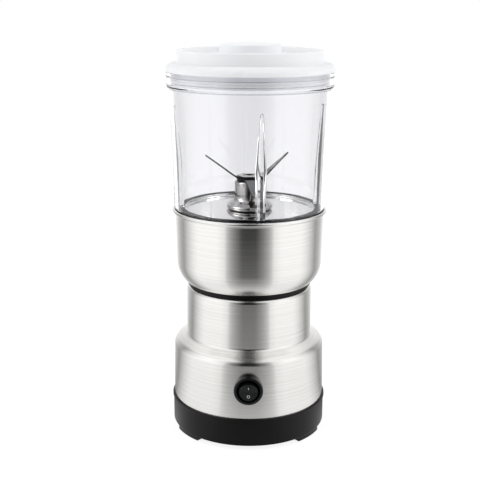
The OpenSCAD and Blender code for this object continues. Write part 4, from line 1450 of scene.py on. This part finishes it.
@dataclass
class LidSet(SubAssembly):
    """The white lid with its recessed top, its gasket and the filler cap in its middle.

    Attributes:
        wall_r: Radius of the raised wall.
        wall_t: Thickness of that wall.
        bend: Radius of the flange's round edge.
        flange_t: Height of the flange's straight edge.
        border: Width of the flat border round the recess.
        recess: Depth of the recess in the lid's top.
        top_t: Thickness of the lid's top in the recess.
        filler_r: Radius of the hole for the filler cap.
        filler_t: Thickness of the collar round that hole.
        filler_h: Height of that collar.
        plug_r: Radius of the plug inside the jar's mouth.
        plug_t: Thickness of the plug's wall.
        groove: Lower and upper edge of the gasket's groove, above the plug's lower end.
        groove_depth: Depth of that groove.
        cap_r: Radius of the filler cap.
        cap_t: Thickness of the cap's top.
        skirt: Inner and outer radius of the cap's skirt.
    """

    wall_r: float = 45.9
    wall_t: float = 2.4
    bend: float = 4.0
    flange_t: float = 1.3
    border: float = 2.7
    recess: float = 3.5
    top_t: float = 2.0
    filler_r: float = 16.0
    filler_t: float = 1.6
    filler_h: float = 4.0
    plug_r: float = 49.5
    plug_t: float = 1.8
    groove: tuple[float, float] = (1.3, 5.3)
    groove_depth: float = 1.0
    cap_r: float = 19.5
    cap_t: float = 2.0
    skirt: tuple[float, float] = (13.8, 15.6)

    def __post_init__(self) -> None:
        """Finds the lid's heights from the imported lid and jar."""
        low, high = bounds_mm("lid")
        _, jar_high = bounds_mm("clear_jar")
        self.flange_r = high.x - HAIR
        self.seat = jar_high.z
        self.plug_z = low.z
        self.top = high.z
        self.recess_z = high.z - self.recess

    def build(self) -> None:
        """Builds the lid, its gasket and the filler cap."""
        self._lid()
        self._gasket()
        self._cap()

    def _lid(self) -> None:
        """Turns the lid: flange, raised wall, recess, collar, plug and groove."""
        shoulder = self.seat + self.flange_t + self.bend
        recess_r = self.wall_r - self.border
        wall_in = self.wall_r - self.wall_t
        under = self.recess_z - self.top_t
        collar_r, collar_z = self.filler_r + self.filler_t, self.recess_z - self.filler_h
        plug_in = self.plug_r - self.plug_t
        groove_r = self.plug_r - self.groove_depth
        groove_low, groove_high = (self.plug_z + height for height in self.groove)
        lid = turned("lid_shell", [
            Corner(self.flange_r, self.seat, 0.3), Corner(self.flange_r, shoulder, self.bend - 0.05),
            Corner(self.wall_r, shoulder, 0.6), Corner(self.wall_r, self.top, 0.9),
            Corner(recess_r, self.top, 0.7), Corner(recess_r, self.recess_z, 0.5),
            Corner(self.filler_r, self.recess_z, 0.3), Corner(self.filler_r, collar_z, 0.2),
            Corner(collar_r, collar_z, 0.2), Corner(collar_r, under, 0.4),
            Corner(wall_in, under, 0.8), Corner(wall_in, shoulder - 2.2, 0.5),
            Corner(plug_in, self.seat + 1, 0.4), Corner(plug_in, self.plug_z, 0.3),
            Corner(self.plug_r, self.plug_z, 0.6), Corner(self.plug_r, groove_low, 0.2),
            Corner(groove_r, groove_low), Corner(groove_r, groove_high),
            Corner(self.plug_r, groove_high, 0.2), Corner(self.plug_r, self.seat),
        ])
        self.settle(lid, Body.LID, Finish.WHITE_LID, "white_plastic", "lid")

    def _gasket(self) -> None:
        """Turns the gasket in the plug's groove, with two soft lips."""
        low, high = bounds_mm("lid_gasket")
        inner, lip, dip = high.x - 1.2, high.x - HAIR, 0.45
        middle = (low.z + high.z) / 2
        gasket = turned("gasket", [
            Corner(inner, low.z, 0.2), Corner(lip, low.z + 0.2, 0.3), Corner(lip, middle - 0.6, 0.4),
            Corner(lip - dip, middle, 0.2), Corner(lip, middle + 0.6, 0.4),
            Corner(lip, high.z - 0.2, 0.3), Corner(inner, high.z, 0.2),
        ])
        self.settle(gasket, Body.LID, Finish.WHITE_SILICONE, "white_silicone", "lid_gasket")

    def _cap(self) -> None:
        """Turns the filler cap: a flat round button with a skirt in the lid's hole."""
        low, high = bounds_mm("filler_cap")
        skirt_in, skirt_out = self.skirt
        under, hollow_r, skirt_top = high.z - self.cap_t, self.cap_r - 2, self.recess_z + 2
        cap = turned("fill_cap", [
            Corner(0, under), Corner(hollow_r, under, 0.8), Corner(hollow_r, skirt_top, 0.3),
            Corner(skirt_in, skirt_top, 0.3), Corner(skirt_in, low.z, 0.3), Corner(skirt_out, low.z, 0.5),
            Corner(skirt_out, self.recess_z), Corner(self.cap_r, self.recess_z, 0.2),
            Corner(self.cap_r, high.z, 0.8), Corner(0, high.z),
        ], MEDIUM)
        self.settle(cap, Body.CAP, Finish.WHITE_LID, "white_plastic", "filler_cap")


# ---------------------------------------------------------------- studio


@dataclass
class Studio:
    """Plain pale studio: a white floor, a wide soft surround with darker gaps, and the camera.

    The surround is brightest at both sides and behind. A dark gap in front and overhead, and a
    dimmer one behind each side, give steel the upright bands that show its form.

    Attributes:
        camera_back: Distance of the camera in front of the axis, in metres.
        camera_up: Height of the camera.
        pitch: How far the camera looks down, in degrees.
        yaw: How far it is turned to the side.
        roll: How far it is rolled.
        lens_mm: Focal length.
        sensor_mm: Width of the camera's sensor.
        floor_m: Side of the floor.
        sweep: Level of the surround, by its heading in degrees from the front.
        floor_front: Level of the floor in front, by its distance from the axis in metres.
        lamp_w: Power of each side lamp.
        lamp_place: Place of the lamp at the right, in metres.
        lamp_size: Width and height of a lamp.
        lamp_aim: Height on the axis that the lamps point at.
    """

    camera_back: float = 0.6093
    camera_up: float = 0.2785
    pitch: float = 14.139
    yaw: float = -0.57
    roll: float = 0.195
    lens_mm: float = 72.24
    sensor_mm: float = 36.0
    floor_m: float = 8.0
    sweep: tuple[tuple[float, float], ...] = (
        (0, 0.0), (10, 0.0), (14, 0.05), (21, 0.16), (28, 0.32), (34, 0.56), (36, 0.82), (48, 1.0),
        (58, 1.12), (72, 1.12), (83, 1.02), (96, 0.84), (109, 0.58), (120, 0.33), (136, 0.5),
        (157, 0.85), (180, 1.0))
    floor_front: tuple[tuple[float, float], ...] = (
        (0.0, 0.62), (0.08, 0.58), (0.11, 0.46), (0.16, 0.27), (0.2, 0.24), (0.33, 0.26), (0.4, 0.08),
        (0.47, 0.0))
    lamp_w: float = 6.4
    lamp_place: tuple[float, float, float] = (1.15, -0.28, 0.95)
    lamp_size: tuple[float, float] = (0.7, 1.0)
    lamp_aim: float = 0.12

    def build(self) -> None:
        """Builds the camera, the floor, the surround and the lamps."""
        self._camera()
        self._floor()
        self._surround()
        self._lamps()
        bpy.context.scene.view_settings.view_transform = "Standard"

    def _camera(self) -> None:
        """Aims the camera."""
        pitch, yaw, roll = (math.radians(a) for a in (self.pitch, self.yaw, self.roll))
        forward = Vector((math.sin(yaw) * math.cos(pitch), math.cos(yaw) * math.cos(pitch),
                          -math.sin(pitch)))
        level = Vector((math.cos(yaw), -math.sin(yaw), 0.0))
        upward = level.cross(forward)
        right = math.cos(roll) * level + math.sin(roll) * upward
        upward = math.cos(roll) * upward - math.sin(roll) * level
        data = bpy.data.cameras.new("camera")
        data.sensor_width = self.sensor_mm
        data.lens = self.lens_mm
        camera = bpy.data.objects.new("camera", data)
        axes = Matrix((right, upward, -forward)).transposed().to_4x4()
        camera.matrix_world = Matrix.Translation((0.0, -self.camera_back, self.camera_up)) @ axes
        bpy.context.scene.collection.objects.link(camera)
        bpy.context.scene.camera = camera

    def _fill(self, ramp: bpy.types.Node, levels: Sequence[tuple[float, float]]) -> None:
        """Sets a ramp's stops.

        Args:
            ramp: The ramp's node, with its own two stops.
            levels: Pairs of a place from 0 to 1 and a grey level.
        """
        stops = ramp.color_ramp.elements
        stops.remove(stops[1])
        for place, level in levels:
            stop = stops[0] if place == 0 else stops.new(place)
            stop.color = (level, level, level, 1.0)

    def _level(self, tree: bpy.types.NodeTree, direction: bpy.types.NodeSocket) -> bpy.types.NodeSocket:
        """Adds the nodes that read the sweep, which is the same on the left and the right.

        Args:
            tree: The node tree to add to.
            direction: Where to look from the grinder's axis.

        Returns:
            The surround's level at the heading of that direction.
        """
        parts = add_node(tree, "ShaderNodeSeparateXYZ", links={0: direction})
        sideways = add_node(tree, "ShaderNodeMath", links={0: parts.outputs["X"]}, operation="ABSOLUTE")
        forward = add_node(tree, "ShaderNodeMath", {1: -1.0}, {0: parts.outputs["Y"]},
                           operation="MULTIPLY")
        heading = add_node(tree, "ShaderNodeMath", links={0: sideways.outputs[0], 1: forward.outputs[0]},
                           operation="ARCTAN2")
        share = add_node(tree, "ShaderNodeMath", {1: math.pi}, {0: heading.outputs[0]},
                         operation="DIVIDE")
        ramp = add_node(tree, "ShaderNodeValToRGB", links={0: share.outputs[0]})
        self._fill(ramp, [(degrees / 180, level) for degrees, level in self.sweep])
        return ramp.outputs["Color"]

    def _seen_straight(self, tree: bpy.types.NodeTree) -> bpy.types.NodeSocket:
        """Adds the nodes that tell what the camera sees without a reflection.

        Args:
            tree: The node tree to add to.

        Returns:
            1 for what it sees directly or through clear plastic, else 0.
        """
        none_yet = 0.5  # depths are whole numbers
        path = add_node(tree, "ShaderNodeLightPath")
        unmirrored = add_node(tree, "ShaderNodeMath", {1: none_yet}, {0: path.outputs["Glossy Depth"]},
                              operation="LESS_THAN")
        unscattered = add_node(tree, "ShaderNodeMath", {1: none_yet}, {0: path.outputs["Diffuse Depth"]},
                               operation="LESS_THAN")
        clean = add_node(tree, "ShaderNodeMath", links={0: unmirrored.outputs[0],
                         1: unscattered.outputs[0]}, operation="MULTIPLY")
        passed = add_node(tree, "ShaderNodeMath", links={0: clean.outputs[0],
                          1: path.outputs["Is Transmission Ray"]}, operation="MULTIPLY")
        return add_node(tree, "ShaderNodeMath", links={0: passed.outputs[0],
                        1: path.outputs["Is Camera Ray"]}, operation="MAXIMUM").outputs[0]

    def _lifted(self, tree: bpy.types.NodeTree, level: bpy.types.NodeSocket) -> bpy.types.NodeSocket:
        """Adds the nodes that make a level brighter where light has bounced inside one clear wall.

        Args:
            tree: The node tree to add to.
            level: The level to lift.

        Returns:
            The lifted level.
        """
        three_faces = 3.5  # depths are whole numbers
        gain, least = 1.1, 0.13
        path = add_node(tree, "ShaderNodeLightPath")
        one_wall = add_node(tree, "ShaderNodeMath", {1: three_faces},
                            {0: path.outputs["Transmission Depth"]}, operation="LESS_THAN")
        inside = add_node(tree, "ShaderNodeMath", links={0: one_wall.outputs[0],
                          1: path.outputs["Is Transmission Ray"]}, operation="MULTIPLY")
        factor = add_node(tree, "ShaderNodeMath", {1: gain, 2: 1.0}, {0: inside.outputs[0]},
                          operation="MULTIPLY_ADD")
        extra = add_node(tree, "ShaderNodeMath", {1: least}, {0: inside.outputs[0]},
                         operation="MULTIPLY")
        return add_node(tree, "ShaderNodeMath", links={0: level, 1: factor.outputs[0],
                        2: extra.outputs[0]}, operation="MULTIPLY_ADD").outputs[0]

    def _floor(self) -> None:
        """Lays the floor: white with a faint shadow where it is seen, the sweep where steel sees it."""
        lit_grey, shadow_grey = (0.9, 0.9, 0.9, 1.0), (0.2, 0.2, 0.2, 1.0)
        material, tree, place = new_material("floor_paper")
        level = self._level(tree, place)
        away = add_node(tree, "ShaderNodeVectorMath", links={0: place}, operation="LENGTH")
        # where the sweep is dark, steel sees this dim ramp, which fades out towards both sides
        front = add_node(tree, "ShaderNodeValToRGB", links={0: away.outputs["Value"]})
        self._fill(front, self.floor_front)
        parts = add_node(tree, "ShaderNodeSeparateXYZ", links={0: place})
        slant = add_node(tree, "ShaderNodeMath", links={0: parts.outputs["Y"], 1: away.outputs["Value"]},
                         operation="DIVIDE")
        ahead = add_node(tree, "ShaderNodeMapRange", {"From Min": -0.2, "From Max": -0.7},
                         {"Value": slant.outputs[0]}, interpolation_type="SMOOTHSTEP")
        dim = add_node(tree, "ShaderNodeMath", links={0: front.outputs["Color"], 1: ahead.outputs[0]},
                       operation="MULTIPLY")
        # elsewhere the floor gets a little brighter with distance
        bright = add_node(tree, "ShaderNodeMapRange", {
            "From Min": 0.1, "From Max": 0.4, "To Min": 0.9, "To Max": 1.08,
        }, {"Value": away.outputs["Value"]})
        evened = add_node(tree, "ShaderNodeMix", links={
            "Factor": level, "A": dim.outputs[0], "B": bright.outputs[0],
        }, data_type="FLOAT")
        mirrored = add_node(tree, "ShaderNodeEmission", links={
            "Strength": self._lifted(tree, evened.outputs[0])})
        matt = add_node(tree, "ShaderNodeBsdfPrincipled", {
            "Base Color": lit_grey, "Roughness": 0.9, "Specular IOR Level": 0.0})
        lit = add_node(tree, "ShaderNodeMixShader", links={
            0: add_node(tree, "ShaderNodeLightPath").outputs["Is Diffuse Ray"],
            1: mirrored.outputs[0], 2: matt.outputs[0]})
        # the camera sees glowing white paper that still darkens a little in the shadow
        white = add_node(tree, "ShaderNodeEmission", {"Strength": 0.88})
        paper = add_node(tree, "ShaderNodeBsdfDiffuse", {"Color": shadow_grey})
        seen = add_node(tree, "ShaderNodeAddShader", links={0: white.outputs[0], 1: paper.outputs[0]})
        shown = add_node(tree, "ShaderNodeMixShader", links={0: self._seen_straight(tree),
                         1: lit.outputs[0], 2: seen.outputs[0]})
        add_node(tree, "ShaderNodeOutputMaterial", links={"Surface": shown.outputs[0]})
        sheet = bmesh.new()
        bmesh.ops.create_grid(sheet, x_segments=4, y_segments=4, size=self.floor_m / 2)
        floor = finish_mesh(sheet, "floor")
        floor.data.materials.append(material)

    def _surround(self) -> None:
        """Sets the world: the sweep round the horizon, and a dark gap from front to back overhead."""
        world = bpy.data.worlds.new("studio")
        world.use_nodes = True
        tree = world.node_tree
        tree.nodes.clear()
        direction = add_node(tree, "ShaderNodeTexCoord").outputs["Generated"]
        parts = add_node(tree, "ShaderNodeSeparateXYZ", links={0: direction})
        sideways = add_node(tree, "ShaderNodeMath", links={0: parts.outputs["X"]}, operation="ABSOLUTE")
        overhead = add_node(tree, "ShaderNodeMapRange", {
            "From Min": 0.05, "From Max": 0.36, "To Min": 0.1,
        }, {"Value": sideways.outputs[0]}, interpolation_type="SMOOTHSTEP")
        height = add_node(tree, "ShaderNodeMapRange", {"From Min": 0.4, "From Max": 0.8},
                          {"Value": parts.outputs["Z"]}, interpolation_type="SMOOTHSTEP")
        light = add_node(tree, "ShaderNodeMix", links={
            "Factor": height.outputs[0], "A": self._level(tree, direction), "B": overhead.outputs[0],
        }, data_type="FLOAT")
        shown = add_node(tree, "ShaderNodeMix", {"B": 1.0}, {
            "Factor": self._seen_straight(tree), "A": self._lifted(tree, light.outputs[0]),
        }, data_type="FLOAT")
        background = add_node(tree, "ShaderNodeBackground", {"Color": linear("#FFFFFF")},
                              {"Strength": shown.outputs[0]})
        add_node(tree, "ShaderNodeOutputWorld", links={"Surface": background.outputs[0]})
        bpy.context.scene.world = world

    def _lamps(self) -> None:
        """Hangs one soft lamp on each side, above the grinder."""
        across, ahead, height = self.lamp_place
        for side in (-1, 1):
            data = bpy.data.lights.new("side_lamp", "AREA")
            data.shape = "RECTANGLE"
            data.size, data.size_y = self.lamp_size
            data.energy = self.lamp_w
            lamp = bpy.data.objects.new("side_lamp", data)
            lamp.location = (side * across, ahead, height)
            aim = Vector((0, 0, self.lamp_aim)) - lamp.location
            lamp.rotation_euler = aim.to_track_quat("-Z", "Y").to_euler()
            lamp.visible_glossy = False
            bpy.context.scene.collection.objects.link(lamp)


def main() -> None:
    """Builds the studio and every sub-assembly in order."""
    logging.basicConfig(level=logging.INFO, format="%(message)s")
    Studio().build()
    finishes = Finishes()
    for sub_assembly in (PackedParts, MotorBase, RockerSwitch, JarBase, BladeSet, ClearJar, LidSet):
        sub_assembly(finishes).build()


if __name__ == "__main__":
    main()
